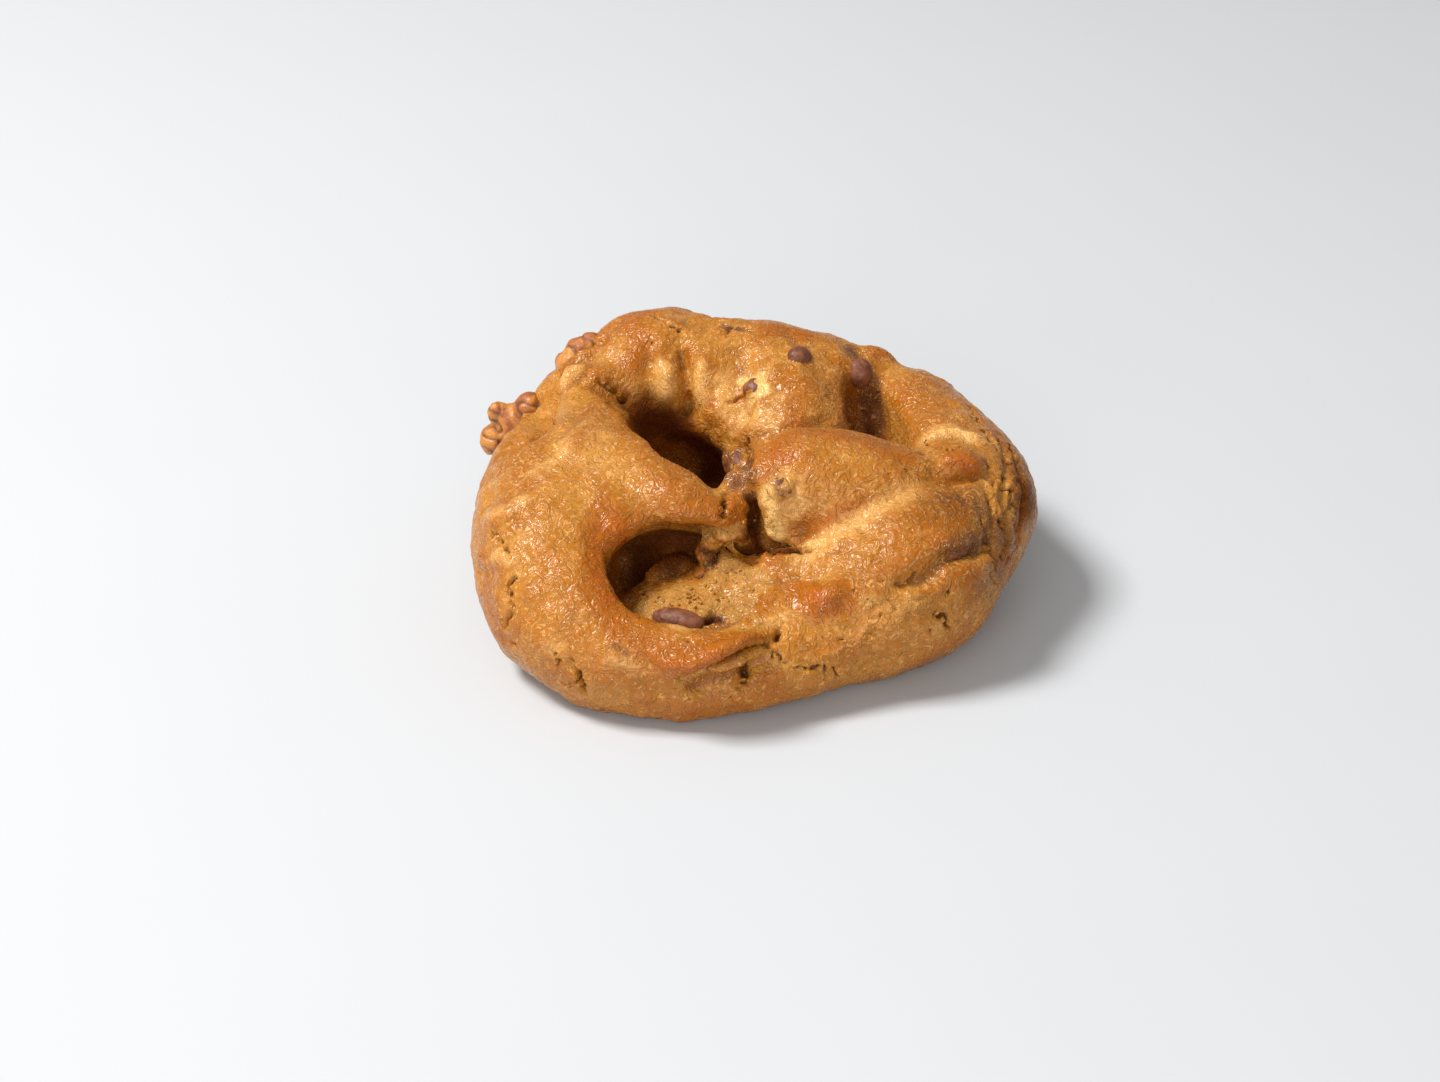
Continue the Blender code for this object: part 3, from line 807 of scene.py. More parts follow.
@dataclass
class Dough:
    """The baked dough: an even skin over the solid, then relief, cracks and colour.

    Sizes are in millimetres. A triple is the height of a kind of unevenness, its length
    and its seed, and a noise is a length and a seed.
    """

    node: Object
    settings: list[Object]
    voxel: float = 0.72
    rounds: int = 9
    refine_reach: tuple[float, ...] = (1.1, 0.62)
    crack_width: float = 0.80
    least_reach: float = 0.05
    waver: float = 0.9
    waver_noises: tuple[Pair, ...] = ((1.3, 61.0), (1.3, 67.0), (1.3, 73.0))
    ragged_noise: Pair = (1.1, 3.0)
    soft_noise: Pair = (3.2, 8.0)
    broken_noise: Pair = (3.4, 15.0)
    swell: Triple = (0.30, 5.0, 1.0)
    lumpy: Triple = (0.24, 2.7, 21.0)
    crease: Triple = (0.34, 7.5, 31.0)
    crease_width: float = 0.09
    crease_noise: Pair = (11.0, 44.0)
    wrinkle: Triple = (0.16, 1.7, 5.0)
    crumb_relief: Triple = (0.46, 1.3, 12.0)
    floor_height: float = 0.4
    seat_depth: float = 0.9
    seat_reach: float = 1.2
    seat_firmness: float = 1.6
    film: Pair = (0.32, 1.9)
    bare_film: float = 0.35
    bare_depth: float = 0.1
    stain_reach: float = 1.3
    stain: float = 0.42
    crest_rounds: int = 40
    crest_span: float = 1.6
    scatter: Scatter = field(default_factory=Scatter)
    fields: dict[Mark, np.ndarray] = field(default_factory=dict)

    def fused(self) -> Object:
        """Join the dough with what is set in it and its lumps, under one skin."""
        form = welded(self.node)
        for piece in self.settings:
            extra = welded(piece)
            mesh = bpy.data.meshes.new("part")
            extra.to_mesh(mesh)
            extra.free()
            form.from_mesh(mesh)
            bpy.data.meshes.remove(mesh)
        tree = BVHTree.FromBMesh(form)
        for lump in LUMPS:
            self.swollen(form, tree, lump)
        return softened(form, "dough_skin", self.voxel, self.rounds)

    def swollen(self, form: BMesh, tree: BVHTree, lump: Lump) -> None:
        """Add a lump to the dough before it gets its skin.

        Args:
            form: The dough in edit form.
            tree: The dough, for finding where the lump's line of sight meets it.
            lump: The lump to add.
        """
        hit, normal, _, _ = tree.ray_cast(PHOTO.place(), PHOTO.ray(*lump.place))
        if hit is None:
            return
        middle = hit + normal * lump.lift * MM
        twist = Quaternion(Vector((0, 0, 1)), math.radians(lump.turn))
        grown = bmesh.ops.create_icosphere(form, subdivisions=2, radius=1.0)
        for vertex in grown["verts"]:
            place = Vector(part * radius * MM for part, radius in zip(vertex.co, lump.radii))
            place.rotate(twist)
            vertex.co = middle + place
            vertex.co.z = max(vertex.co.z, 0.0)

    def traced(self, tree: BVHTree, trace: Trace) -> np.ndarray:
        """The places on the skin that a trace's points show.

        Args:
            tree: The skin, for finding where a line of sight meets it.
            trace: The mark to place.

        Returns:
            Rows of x, y, z in millimetres.
        """
        hits = [tree.ray_cast(PHOTO.place(), PHOTO.ray(*point))[0] for point in trace.points]
        return np.array([tuple(hit / MM) for hit in hits if hit is not None])

    def refine(self, piece: Object, lines: list[np.ndarray]) -> None:
        """Halve the faces round the sharp marks.

        Args:
            piece: The dough's skin.
            lines: The places of the sharp marks.
        """
        for reach in self.refine_reach:
            places = vertices_of(piece.data)
            near = np.zeros(len(places), dtype=bool)
            for points in lines:
                near |= gap_to_line(places, points) < reach
            form = bmesh.new()
            form.from_mesh(piece.data)
            form.verts.ensure_lookup_table()
            edges = [edge for edge in form.edges if all(near[end.index] for end in edge.verts)]
            bmesh.ops.subdivide_edges(form, edges=edges, cuts=1, use_grid_fill=True)
            form.to_mesh(piece.data)
            form.free()

    def marked(
        self, places: np.ndarray, placed: list[tuple[Trace, np.ndarray]]
    ) -> tuple[np.ndarray, np.ndarray]:
        """Work out what the marks do to the skin, and note their colours.

        Args:
            places: The skin's points, in millimetres.
            placed: Each mark with its places on the skin.

        Returns:
            How far each point moves outwards, and how deep it lies in a crack, from 0 to 1,
            which sets the painted shade in the cracks.
        """
        ragged = grain(places, *self.ragged_noise)
        soft = grain(places, *self.soft_noise)
        broken = np.clip(0.75 + 1.1 * grain(places, *self.broken_noise), 0.1, 1)
        waver = np.stack([grain(places, *wave) for wave in self.waver_noises], axis=1)
        wavered = places + self.waver * waver
        sharp_edge = self.crack_width * (1 + 0.9 * ragged)
        soft_edge = 1 + 0.15 * soft
        colour_edge = 1 + 0.35 * soft + 0.15 * ragged
        self.fields = {mark: np.zeros(len(places)) for mark in COLOURING}
        crack = np.zeros(len(places))
        shift = np.zeros(len(places))
        for trace, points in placed:
            if not len(points):
                continue
            mark, sharp = trace.mark, trace.mark in SHARP
            edge = sharp_edge if sharp else soft_edge if mark in SHAPING else colour_edge
            gap = gap_to_line(wavered if sharp else places, points)
            reach = np.maximum(trace.reach * edge, self.least_reach)
            near = np.clip(1 - gap / reach, 0, 1)
            if sharp:
                shift += SHAPING[mark] * trace.amount * (near**0.8 * broken)
                crack = np.maximum(crack, np.clip(near * 1.4, 0, 1) * broken)
            elif mark in SHAPING:
                shift += SHAPING[mark] * trace.amount * eased(near)
            else:
                self.fields[mark] = np.maximum(self.fields[mark], trace.amount * eased(near))
        return shift, crack

    def roughened(self, places: np.ndarray, shift: np.ndarray) -> np.ndarray:
        """Add the unevenness that the whole skin has.

        Args:
            places: The skin's points, in millimetres.
            shift: How far the marks move each point.

        Returns:
            How far each point moves in all, never down through the flat underside.
        """
        shift = shift + self.swell[0] * grain(places, *self.swell[1:])
        shift += self.lumpy[0] * grain(places, *self.lumpy[1:])
        folded = np.abs(grain(places, *self.crease[1:]))
        creased = np.clip(1 - folded / self.crease_width, 0, 1)
        creased *= np.clip(0.3 + 2.0 * grain(places, *self.crease_noise), 0, 1)
        shift -= self.crease[0] * creased
        shift += self.wrinkle[0] * (1 - 2 * np.abs(grain(places, *self.wrinkle[1:])))
        crumbly = grain(places, *self.crumb_relief[1:])
        shift += self.fields[Mark.CRUMB] * self.crumb_relief[0] * crumbly
        floor = places[:, 2] < self.floor_height
        shift[floor] = np.minimum(shift[floor], 0)
        return shift

    def press(self, piece: Object, placed: list[tuple[Trace, np.ndarray]]) -> None:
        """Press the relief, cracks and crumb into the skin and store the colours.

        Args:
            piece: The dough's skin.
            placed: Each mark with its places on the skin.
        """
        mesh = piece.data
        places = vertices_of(mesh)
        normals = normals_of(mesh)
        crest = crests(mesh, places, normals, self.crest_rounds)
        shift, crack = self.marked(places, placed)
        places = places + normals * self.roughened(places, shift)[:, None]
        places[:, 2] = np.maximum(places[:, 2], 0.0)
        for setting in self.settings:
            places = self.seated(places, setting)
        move_vertices(mesh, places)
        # the crack depth sets the painted shade in the cracks and pits
        write_attribute(mesh, "crack", crack)
        write_attribute(mesh, "crest", 0.5 + crest / self.crest_span)
        for mark, values in self.fields.items():
            write_attribute(mesh, mark.value, values)

    def seated(self, places: np.ndarray, setting: Object) -> np.ndarray:
        """Press the skin in under a piece that is set in it.

        A film of dough stays over part of each chip, and its chocolate stains the skin.

        Args:
            places: The skin's points, in millimetres.
            setting: The chip or nut.

        Returns:
            The moved points.
        """
        chip = setting.name in BARE
        corners = vertices_of(setting.data)
        centre = corners.mean(axis=0)
        tree = BVHTree.FromPolygons(
            [Vector(corner) for corner in corners],
            [face.vertices for face in setting.data.polygons],
        )
        depth = BARE.get(setting.name, self.seat_depth)
        film = self.film[0] * (self.bare_film if depth > self.bare_depth else 1.0) if chip else 0.0
        offset = Vector(centre)
        span = np.linalg.norm(corners - centre, axis=1).max() + self.stain_reach
        stain = self.fields[Mark.CHOCOLATE_AND_SHADE]
        for index in np.nonzero(np.linalg.norm(places - centre, axis=1) < span)[0]:
            place = Vector(places[index])
            nearest, normal, _, gap = tree.find_nearest(place)
            height = gap if (place - nearest).dot(normal) > 0 else -gap
            share = max((self.seat_reach - height) / self.seat_reach, 0.0)
            share = min(share * self.seat_firmness, 1.0)
            wanted = film * noise.noise(place / self.film[1] + offset) - depth
            places[index] = place + normal * (wanted - height) * share
            if chip:
                near = min(max((self.stain_reach - height) / self.stain_reach, 0.0), 1.0)
                stain[index] = max(stain[index], self.stain * near)
        return places

    def build(self) -> Object:
        """Make the dough's skin.

        Returns:
            The finished object.
        """
        made = self.fused()
        tree = tree_of(made.data)
        marks = (*CRACKS, *PITS, *RELIEF, *TINTS)
        placed = [(trace, self.traced(tree, trace)) for trace in marks]
        placed += self.scatter.marks(made.data, tree)
        sharp = [points for trace, points in placed if trace.mark in SHARP and len(points)]
        self.refine(made, sharp)
        self.press(made, placed)
        made.data.shade_smooth()
        return made


@dataclass
class Chip:
    """A chocolate chip, softened by the oven and set in the dough.

    Each triple is the height of a kind of unevenness, its length and its seed.
    """

    node: Object
    voxel: float = 0.28
    rounds: int = 5
    lumps: Triple = (0.10, 1.3, 2.0)
    dents: Triple = (0.05, 0.5, 6.0)

    def build(self) -> Object:
        """Make the chip.

        Returns:
            The finished object.
        """
        name = f"melted_{self.node.name}"
        made = softened(welded(self.node), name, self.voxel, self.rounds)
        places = vertices_of(made.data)
        shift = self.lumps[0] * grain(places, *self.lumps[1:])
        shift += self.dents[0] * grain(places, *self.dents[1:])
        move_vertices(made.data, places + normals_of(made.data) * shift[:, None])
        made.data.shade_smooth()
        return made


@dataclass
class Walnut:
    """A piece of walnut with its brain-like folds.

    Each triple is the height of a kind of unevenness, its length and its seed.
    """

    node: Object
    voxel: float = 0.34
    rounds: int = 4
    folds: Triple = (0.38, 2.9, 4.0)
    fold_width: float = 0.16
    skin: Triple = (0.22, 1.3, 9.0)
    swell: float = 0.36

    def build(self) -> Object:
        """Make the nut.

        Returns:
            The finished object.
        """
        name = f"roasted_{self.node.name}"
        made = softened(welded(self.node), name, self.voxel, self.rounds)
        places = vertices_of(made.data)
        folded = np.abs(grain(places, *self.folds[1:]))
        crease = np.clip(1 - folded / self.fold_width, 0, 1)
        shift = self.swell - self.folds[0] * crease
        shift += self.skin[0] * grain(places, *self.skin[1:])
        move_vertices(made.data, places + normals_of(made.data) * shift[:, None])
        write_attribute(made.data, "crease", crease)
        made.data.shade_smooth()
        return made


@dataclass
class Crumbs:
    """Loose grains that lie round places of the view.

    The spread is in the view's pixels and the sizes are in millimetres.
    """

    skin: Object
    name: str
    places: tuple[Pair, ...]
    count: int
    spread: float
    sizes: Pair
    seed: int
    flatness: float = 0.6
    stretches: tuple[Pair, ...] = ((0.7, 1.3), (0.7, 1.3), (0.6, 1.0))
    unevenness: Pair = (0.85, 1.15)
    sunk: float = 0.35
    crest: float = 0.46

    def build(self) -> Object:
        """Make the grains as one mesh.

        Returns:
            The finished object.
        """
        draw = random.Random(self.seed)
        tree = tree_of(self.skin.data)
        form = bmesh.new()
        for _ in range(self.count):
            x, y = draw.choice(self.places)
            x += draw.gauss(0, self.spread)
            y += draw.gauss(0, self.spread * self.flatness)
            hit, normal, _, _ = tree.ray_cast(PHOTO.place(), PHOTO.ray(x, y))
            size = draw.uniform(*self.sizes) * MM
            if hit is not None:
                self.add(form, hit + normal * size * self.sunk, size, draw)
        made = piece_of(form, self.name)
        write_attribute(made.data, "crest", np.full(len(made.data.vertices), self.crest))
        return made

    def add(
        self, form: BMesh, middle: Vector, size: float, draw: random.Random
    ) -> None:
        """Add one uneven grain.

        Args:
            form: The grains in edit form.
            middle: Where its middle lies.
            size: Its radius, in metres.
            draw: The seeded draw.
        """
        grown = bmesh.ops.create_icosphere(form, subdivisions=1, radius=size)
        stretch = Vector(draw.uniform(*limits) for limits in self.stretches)
        axis = Vector((draw.random(), draw.random(), draw.random())).normalized()
        twist = Quaternion(axis, draw.uniform(0, 6))
        for vertex in grown["verts"]:
            place = Vector(part * factor for part, factor in zip(vertex.co, stretch))
            place *= draw.uniform(*self.unevenness)
            place.rotate(twist)
            vertex.co = middle + place


@dataclass
class Board:
    """A material and the lines between its nodes."""

    name: str

    def __post_init__(self) -> None:
        """Start from a plain Principled shader."""
        self.material = bpy.data.materials.new(self.name)
        self.material.use_nodes = True
        self.tree = self.material.node_tree
        self.shader = self.tree.nodes["Principled BSDF"]
        where = self.tree.nodes.new("ShaderNodeTexCoord")
        scale = self.tree.nodes.new("ShaderNodeVectorMath")
        scale.operation = "SCALE"
        scale.inputs["Scale"].default_value = 1 / MM
        self.tree.links.new(where.outputs["Object"], scale.inputs[0])
        self.place = scale.outputs[0]

    def feed(self, socket: NodeSocket, value: object) -> None:
        """Link a socket to another, or set its value."""
        if isinstance(value, NodeSocket):
            self.tree.links.new(value, socket)
        else:
            socket.default_value = value

    def grain(
        self, size: float, detail: float = 3.0, twist: float = 0.0, rough: float = 0.5
    ) -> NodeSocket:
        """Smooth noise over the piece.

        Args:
            size: Size of its lumps, in millimetres.
            detail: How many finer layers it has.
            twist: How curly it is.
            rough: How strong the finer layers are.

        Returns:
            A socket with values round 0.5.
        """
        made = self.tree.nodes.new("ShaderNodeTexNoise")
        made.inputs["Scale"].default_value = 1 / size
        made.inputs["Detail"].default_value = detail
        made.inputs["Roughness"].default_value = rough
        made.inputs["Distortion"].default_value = twist
        self.tree.links.new(self.place, made.inputs["Vector"])
        return made.outputs["Fac"]

    def cells(self, size: float) -> NodeSocket:
        """The distance to the nearest of many scattered points, in cell sizes."""
        made = self.tree.nodes.new("ShaderNodeTexVoronoi")
        made.inputs["Scale"].default_value = 1 / size
        self.tree.links.new(self.place, made.inputs["Vector"])
        return made.outputs["Distance"]

    def stored(self, name: str | Mark) -> NodeSocket:
        """The values that the mesh stores under this name."""
        made = self.tree.nodes.new("ShaderNodeAttribute")
        made.attribute_name = name.value if isinstance(name, Mark) else name
        return made.outputs["Fac"]

    def sum(self, first: object, second: object, kind: str = "ADD") -> NodeSocket:
        """Two values put together by a sum of this kind."""
        made = self.tree.nodes.new("ShaderNodeMath")
        made.operation = kind
        self.feed(made.inputs[0], first)
        self.feed(made.inputs[1], second)
        return made.outputs[0]

    def times(self, first: object, second: object) -> NodeSocket:
        """One value multiplied by another."""
        return self.sum(first, second, "MULTIPLY")

    def ramp(
        self,
        value: NodeSocket,
        low: float,
        high: float,
        start: float = 0.0,
        end: float = 1.0,
    ) -> NodeSocket:
        """A smooth step of the value.

        Args:
            value: The socket to read.
            low: The value at which the step begins.
            high: The value at which it ends.
            start: What it gives below the step.
            end: What it gives above it.

        Returns:
            The stepped value.
        """
        made = self.tree.nodes.new("ShaderNodeMapRange")
        made.interpolation_type = "SMOOTHSTEP"
        self.tree.links.new(value, made.inputs["Value"])
        limits = {"From Min": low, "From Max": high, "To Min": start, "To Max": end}
        for name, number in limits.items():
            made.inputs[name].default_value = number
        return made.outputs["Result"]

    def mix(self, share: object, first: object, second: object) -> NodeSocket:
        """Two colours mixed.

        Args:
            share: How much of the second there is.
            first: A colour or a socket.
            second: A colour or a socket.

        Returns:
            The mixed colour.
        """
        made = self.tree.nodes.new("ShaderNodeMix")
        made.data_type = "RGBA"
        self.feed(made.inputs[0], share)
        for socket, colour in ((made.inputs[6], first), (made.inputs[7], second)):
            linked = isinstance(colour, NodeSocket)
            self.feed(socket, colour if linked else (*colour, 1.0))
        return made.outputs[2]

    def bump(
        self,
        height: NodeSocket,
        depth: float,
        over: NodeSocket | None = None,
    ) -> NodeSocket:
        """Fine relief.

        Args:
            height: The socket that gives the relief.
            depth: Its depth, in millimetres.
            over: Relief that it is laid over.

        Returns:
            The normal's socket.
        """
        made = self.tree.nodes.new("ShaderNodeBump")
        made.inputs["Distance"].default_value = depth * MM
        made.inputs["Strength"].default_value = 1.0
        self.tree.links.new(height, made.inputs["Height"])
        if over is not None:
            self.tree.links.new(over, made.inputs["Normal"])
        return made.outputs["Normal"]

    def finish(self, **values: object) -> Material:
        """Set the shader's sockets, with spaces for underscores.

        Args:
            values: What each socket gets.

        Returns:
            The finished material.
        """
        for name, value in values.items():
            self.feed(self.shader.inputs[name.replace("_", " ")], value)
        return self.material


@dataclass(frozen=True)
class CrustFinish:
    """Baked dough: golden, browned on its ridges, pale in its tears, with a buttery gloss.

    The pattern sizes and the relief's depths are in millimetres. A pair of a gloss is its
    value on the open crust and in the deepest shade. Its colour carries painted shade in the
    dips, cracks, pits and shade marks, and painted highlights along the curly strands and
    the sheen marks.
    """

    gold: Triple = (0.458, 0.190, 0.023)
    amber: Triple = (0.345, 0.116, 0.007)
    honey: Triple = (0.33, 0.108, 0.005)
    toast: Triple = (0.35, 0.098, 0.003)
    rust: Triple = (0.36, 0.080, 0.001)
    cream: Triple = (0.66, 0.350, 0.104)
    torn: Triple = (0.43, 0.208, 0.044)
    flour: Triple = (0.76, 0.470, 0.165)
    # deep brown painted shade for the dips
    dip_shade: Triple = (0.24, 0.066, 0.006)
    # chocolate stain colour, also used as painted shade on the right side
    cocoa_and_shade: Triple = (0.130, 0.048, 0.022)
    # near-black painted shade for the cracks, pits and shade marks
    painted_shade: Triple = (0.08, 0.018, 0.004)
    patch_size: float = 9.0
    mottle_size: float = 2.4
    fleck_size: float = 0.7
    curl_size: float = 2.0
    dot_spacing: float = 1.9
    gloss_size: float = 1.8
    mottle_depth: float = 0.26
    curl_depth: float = 0.48
    strand_depth: float = 0.17
    dot_depth: float = 0.10
    roughness: Pair = (0.22, 0.38)
    specular: Pair = (0.20, 0.02)
    coat: Pair = (0.24, 0.0)

    def material(self) -> Material:
        """Make the material.

        Returns:
            The dough's material.
        """
        board = Board("baked_dough")
        mottle = board.grain(self.mottle_size, 4.0, 0.6, 0.6)
        fleck = board.grain(self.fleck_size, 3.0, 0.8, 0.6)
        curl = board.grain(self.curl_size, 1.0, 1.9, 0.5)
        winding = board.sum(board.sum(curl, 0.5, "SUBTRACT"), 0.0, "ABSOLUTE")
        sheen_strand = board.ramp(winding, 0.010, 0.050, 1.0, 0.0)
        dots = board.ramp(board.cells(self.dot_spacing), 0.07, 0.12, 1.0, 0.0)
        colour = self.marked(board, self.baked(board, mottle), mottle, fleck)
        colour = self.curled(board, colour, winding, sheen_strand, fleck, dots)
        shade = board.stored(Mark.SHADE)
        # painted shade: the cracks, pits and shade marks are darkened towards near-black
        for depth, low, most in ((board.stored("crack"), 0.35, 0.9), (shade, 0.1, 0.95)):
            colour = board.mix(board.ramp(depth, low, 1.0, 0.0, most), colour, self.painted_shade)
        relief = board.bump(mottle, self.mottle_depth)
        relief = board.bump(curl, self.curl_depth, relief)
        relief = board.bump(sheen_strand, self.strand_depth, relief)
        relief = board.bump(dots, self.dot_depth, relief)
        return board.finish(
            Base_Color=colour,
            Roughness=self.dulled(board),
            Normal=relief,
            Specular_IOR_Level=board.ramp(shade, 0.1, 0.8, *self.specular),
            Coat_Weight=board.ramp(shade, 0.1, 0.8, *self.coat),
            Coat_Roughness=0.11,
            Coat_Normal=relief,
            Subsurface_Weight=0.35,
            Subsurface_Radius=(1.0, 0.42, 0.10),
            Subsurface_Scale=0.0016,
        )

    def baked(self, board: Board, mottle: NodeSocket) -> NodeSocket:
        """The crust's colour: mottled, brown on its crests, with painted shade in its dips.

        Args:
            board: The material.
            mottle: The noise that mottles it.

        Returns:
            The colour.
        """
        patch = board.grain(self.patch_size, 3.0, 0.4)
        colour = board.mix(board.ramp(patch, 0.40, 0.62), self.gold, self.amber)
        colour = board.mix(board.ramp(mottle, 0.50, 0.70, 0.0, 0.45), colour, self.cream)
        crest = board.stored("crest")
        colour = board.mix(board.ramp(crest, 0.52, 0.95, 0.0, 0.8), colour, self.toast)
        # painted shade: the dips, where the crest value is low, darken towards a deep brown
        return board.mix(board.ramp(crest, 0.02, 0.40, 0.85, 0.0), colour, self.dip_shade)

    def marked(
        self,
        board: Board,
        colour: NodeSocket,
        mottle: NodeSocket,
        fleck: NodeSocket,
    ) -> NodeSocket:
        """Lay the marks' colours over the crust, with uneven edges. The brown, red and chocolate
        marks also paint shade, and the pale marks also paint highlights.

        Args:
            board: The material.
            colour: The crust's own colour.
            mottle: The coarser noise at the edges.
            fleck: The finer noise at the edges.

        Returns:
            The colour.
        """
        coarse = board.ramp(mottle, 0.30, 0.70, -0.28, 0.28)
        uneven = board.sum(coarse, board.ramp(fleck, 0.3, 0.7, -0.14, 0.14))
        for mark, tint, low, high in (
            (Mark.BROWN, self.toast, 0.10, 0.85),
            (Mark.RED, self.rust, 0.15, 0.90),
            (Mark.CRUMB, self.torn, 0.20, 0.60),
            (Mark.PALE_AND_SHEEN, self.cream, 0.15, 1.00),
            (Mark.CHOCOLATE_AND_SHADE, self.cocoa_and_shade, 0.22, 0.78),
        ):
            stored = board.stored(mark)
            amount = board.sum(stored, board.times(stored, uneven))
            colour = board.mix(board.ramp(amount, low, high), colour, tint)
        return colour

    def curled(
        self,
        board: Board,
        colour: NodeSocket,
        winding: NodeSocket,
        sheen_strand: NodeSocket,
        fleck: NodeSocket,
        dots: NodeSocket,
    ) -> NodeSocket:
        """Lay painted highlights along the curly strands, a darker honey between them, and the
        flecks and dots over the crust.

        Args:
            board: The material.
            colour: The crust's colour so far.
            winding: How far a place is from the middle of a strand.
            sheen_strand: The strands, which get a painted highlight.
            fleck: The fine noise.
            dots: The dots.

        Returns:
            The colour.
        """
        calm = board.ramp(board.stored(Mark.BROWN), 0.15, 0.8, 1.0, 0.35)
        bare = board.ramp(winding, 0.07, 0.17)
        colour = board.mix(board.times(bare, 0.42), colour, self.honey)
        # paler, floury colour where torn crumb meets the pale marks; on the flap's torn face this
        # is partly painted light
        white = board.times(board.stored(Mark.CRUMB), board.stored(Mark.PALE_AND_SHEEN))
        colour = board.mix(board.ramp(white, 0.20, 0.75), colour, self.flour)
        # painted highlight: cream along the curly strands, weaker where the crust is browned
        colour = board.mix(board.times(board.times(sheen_strand, 0.55), calm), colour, self.cream)
        colour = board.mix(board.ramp(fleck, 0.60, 0.75, 0.0, 0.10), colour, self.cream)
        colour = board.mix(board.ramp(fleck, 0.26, 0.40, 0.12, 0.0), colour, self.toast)
        return board.mix(board.times(board.times(dots, 0.5), calm), colour, self.cream)

    def dulled(self, board: Board) -> NodeSocket:
        """How rough the crust is: smoother where it is glossy, rougher where it is torn."""
        rough = board.ramp(board.grain(self.gloss_size, 3.0, 1.0), 0.35, 0.65, *self.roughness)
        rough = board.times(rough, board.ramp(board.stored(Mark.GLOSS), 0.1, 0.8, 1.0, 0.55))
        return board.sum(rough, board.ramp(board.stored(Mark.CRUMB), 0.3, 0.8, 0.0, 0.25))


@dataclass(frozen=True)
class ChocolateFinish:
    """Dark chocolate, dull where it cooled and glossy where it melted."""

    dark: Triple = (0.125, 0.038, 0.018)
    milky: Triple = (0.210, 0.074, 0.034)
    dusty: Triple = (0.300, 0.130, 0.070)

    def material(self) -> Material:
        """Make the material.

        Returns:
            The chips' material.
        """
        board = Board("dark_chocolate")
        patch = board.grain(2.2, 3.0, 0.5)
        dust = board.grain(0.45, 4.0, 0.8, 0.6)
        colour = board.mix(board.ramp(patch, 0.38, 0.64), self.dark, self.milky)
        colour = board.mix(board.ramp(dust, 0.58, 0.72, 0.0, 0.6), colour, self.dusty)
        relief = board.bump(board.grain(0.8, 3.0, 0.6), 0.14)
        return board.finish(
            Base_Color=colour,
            Roughness=board.ramp(patch, 0.35, 0.65, 0.38, 0.56),
            Normal=board.bump(dust, 0.06, relief),
            Specular_IOR_Level=0.35,
        )


@dataclass(frozen=True)
class WalnutFinish:
    """Roasted walnut: papery gold-brown skin, darker in its folds."""

    golden: Triple = (0.50, 0.200, 0.030)
    roasted: Triple = (0.30, 0.084, 0.012)
    deep: Triple = (0.090, 0.026, 0.012)

    def material(self) -> Material:
        """Make the material.

        Returns:
            The nuts' material.
        """
        board = Board("roasted_walnut")
        patch = board.grain(4.2, 3.0, 0.8)
        vein = board.grain(0.9, 4.0, 1.6, 0.6)
        colour = board.mix(board.ramp(patch, 0.42, 0.60), self.golden, self.roasted)
        colour = board.mix(board.ramp(vein, 0.54, 0.70, 0.0, 0.45), colour, self.roasted)
        fold = board.ramp(board.stored("crease"), 0.15, 0.9, 0.0, 0.8)
        return board.finish(
            Base_Color=board.mix(fold, colour, self.deep),
            Roughness=board.ramp(patch, 0.35, 0.65, 0.24, 0.42),
            Normal=board.bump(board.grain(0.35, 3.0), 0.05, board.bump(vein, 0.20)),
            Specular_IOR_Level=0.5,
            Subsurface_Weight=0.08,
            Subsurface_Radius=(0.8, 0.4, 0.2),
            Subsurface_Scale=0.0010,
        )


@dataclass(frozen=True)
class SugarFinish:
    """Clear brown sugar grains."""

    amber: Triple = (0.72, 0.48, 0.24)
    clear: Triple = (0.86, 0.72, 0.50)

    def material(self) -> Material:
        """Make the material.

        Returns:
            The grains' material.
        """
        board = Board("sugar_grains")
        patch = board.ramp(board.grain(1.1, 2.0), 0.40, 0.60)
        return board.finish(
            Base_Color=board.mix(patch, self.amber, self.clear),
            Roughness=0.18,
            Normal=board.bump(board.grain(0.3, 2.0), 0.05),
            Specular_IOR_Level=0.6,
            Subsurface_Weight=0.3,
            Subsurface_Radius=(0.8, 0.6, 0.4),
            Subsurface_Scale=0.0006,
        )


@dataclass(frozen=True)
class TableFinish:
    """A plain pale tabletop."""

    pale: Triple = (0.506, 0.540, 0.590)
    paler: Triple = (0.520, 0.554, 0.605)

    def material(self) -> Material:
        """Make the material.

        Returns:
            The floor's material.
        """
        board = Board("pale_table")
        colour = board.mix(board.grain(60.0, 2.0), self.pale, self.paler)
        return board.finish(Base_Color=colour, Roughness=0.6, Specular_IOR_Level=0.2)


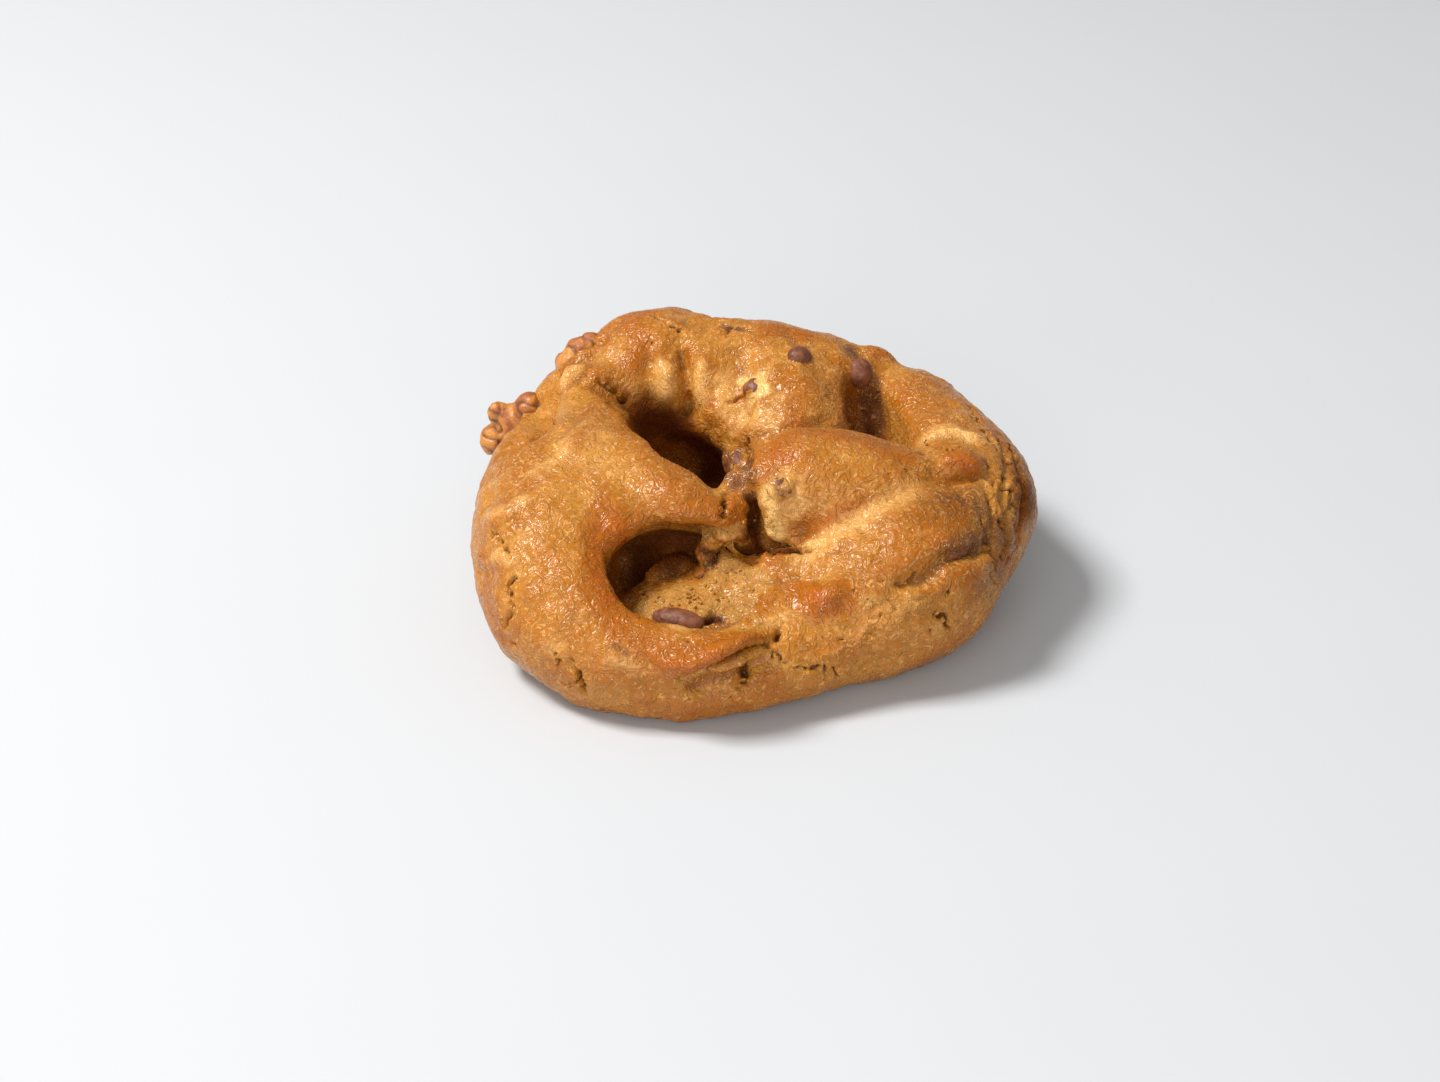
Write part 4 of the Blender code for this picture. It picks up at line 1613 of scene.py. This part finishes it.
@dataclass
class Studio:
    """The pale floor and the soft light round the cookie, in metres and watts."""

    floor_width: float = 4.0
    floor_drop: float = 0.05 * MM
    key_place: Triple = (-0.64, 0.02, 1.02)
    key_size: float = 0.34
    key_power: float = 19.0
    fill_place: Triple = (-0.18, -0.95, 0.32)
    fill_size: float = 0.80
    fill_power: float = 7.0
    warmth: Triple = (1.0, 0.955, 0.89)
    sky_strength: float = 0.40

    def floor(self) -> None:
        """Make the floor."""
        form = bmesh.new()
        bmesh.ops.create_grid(form, x_segments=8, y_segments=8, size=self.floor_width / 2)
        made = piece_of(form, "pale_floor")
        made.location.z = -self.floor_drop
        made.data.materials.append(TableFinish().material())

    def lamp(self, name: str, place: Triple, size: float, power: float) -> None:
        """Make one soft lamp that points at the cookie.

        Args:
            name: The lamp's name.
            place: Where it hangs.
            size: Its width.
            power: Its power in watts.
        """
        lamp = bpy.data.lights.new(name, "AREA")
        lamp.size = size
        lamp.energy = power
        lamp.color = self.warmth
        made = bpy.data.objects.new(name, lamp)
        made.location = place
        aimed = Vector(PHOTO.aim) - Vector(place)
        made.rotation_euler = aimed.to_track_quat("-Z", "Y").to_euler()
        bpy.context.scene.collection.objects.link(made)

    def build(self) -> None:
        """Make the floor, the lamps, the sky and the camera."""
        self.floor()
        self.lamp("key_light", self.key_place, self.key_size, self.key_power)
        self.lamp("fill_light", self.fill_place, self.fill_size, self.fill_power)
        world = bpy.data.worlds.new("pale_sky")
        world.use_nodes = True
        sky = world.node_tree.nodes["Background"]
        sky.inputs["Color"].default_value = (*self.warmth, 1.0)
        sky.inputs["Strength"].default_value = self.sky_strength
        bpy.context.scene.world = world
        bpy.context.scene.view_settings.view_transform = "Standard"
        PHOTO.camera()


@dataclass
class Cookie:
    """The whole cookie: the dough, what is set in it, and the grains in its hollow."""

    nodes: dict[str, Object]

    def named(self, start: str) -> list[Object]:
        """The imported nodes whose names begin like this."""
        return [self.nodes[name] for name in sorted(self.nodes) if name.startswith(start)]

    def place(
        self, piece: Object, finish: Material, slot: str, *replaced: str
    ) -> None:
        """Dress a piece and tie it to the model.

        Args:
            piece: The finished object.
            finish: Its material.
            slot: Not used.
            replaced: The nodes that it stands for.
        """
        piece.data.materials.clear()
        piece.data.materials.append(finish)
        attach(piece, BODY)
        if replaced:
            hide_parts(*replaced)
        piece.data.calc_loop_triangles()
        log.info("%s: %d triangles", piece.name, len(piece.data.loop_triangles))

    def build(self) -> None:
        """Make every piece in order."""
        chips = self.named("chip_")
        nuts = self.named("walnut_")
        crust = CrustFinish().material()
        chocolate = ChocolateFinish().material()
        walnut = WalnutFinish().material()
        skin = Dough(self.nodes[DOUGH_NODE], chips + nuts).build()
        self.place(skin, crust, "dough", DOUGH_NODE)
        for node in chips:
            self.place(Chip(node).build(), chocolate, "chocolate", node.name)
        for node in nuts:
            self.place(Walnut(node).build(), walnut, "walnut", node.name)
        sugar = Crumbs(
            skin, "sugar_grains", SUGAR_PLACES, count=28, spread=5.0, sizes=(0.12, 0.28), seed=5
        )
        self.place(sugar.build(), SugarFinish().material(), "dough")
        flakes = Crumbs(
            skin, "loose_crumbs", CRUMB_PLACES, count=70, spread=9.0, sizes=(0.14, 0.40), seed=8
        )
        self.place(flakes.build(), crust, "dough")


def main() -> None:
    """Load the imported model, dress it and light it."""
    logging.basicConfig(level=logging.INFO, format="%(message)s")
    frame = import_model()
    Cookie(frame["nodes"]).build()
    Studio().build()


if __name__ == "__main__":
    main()
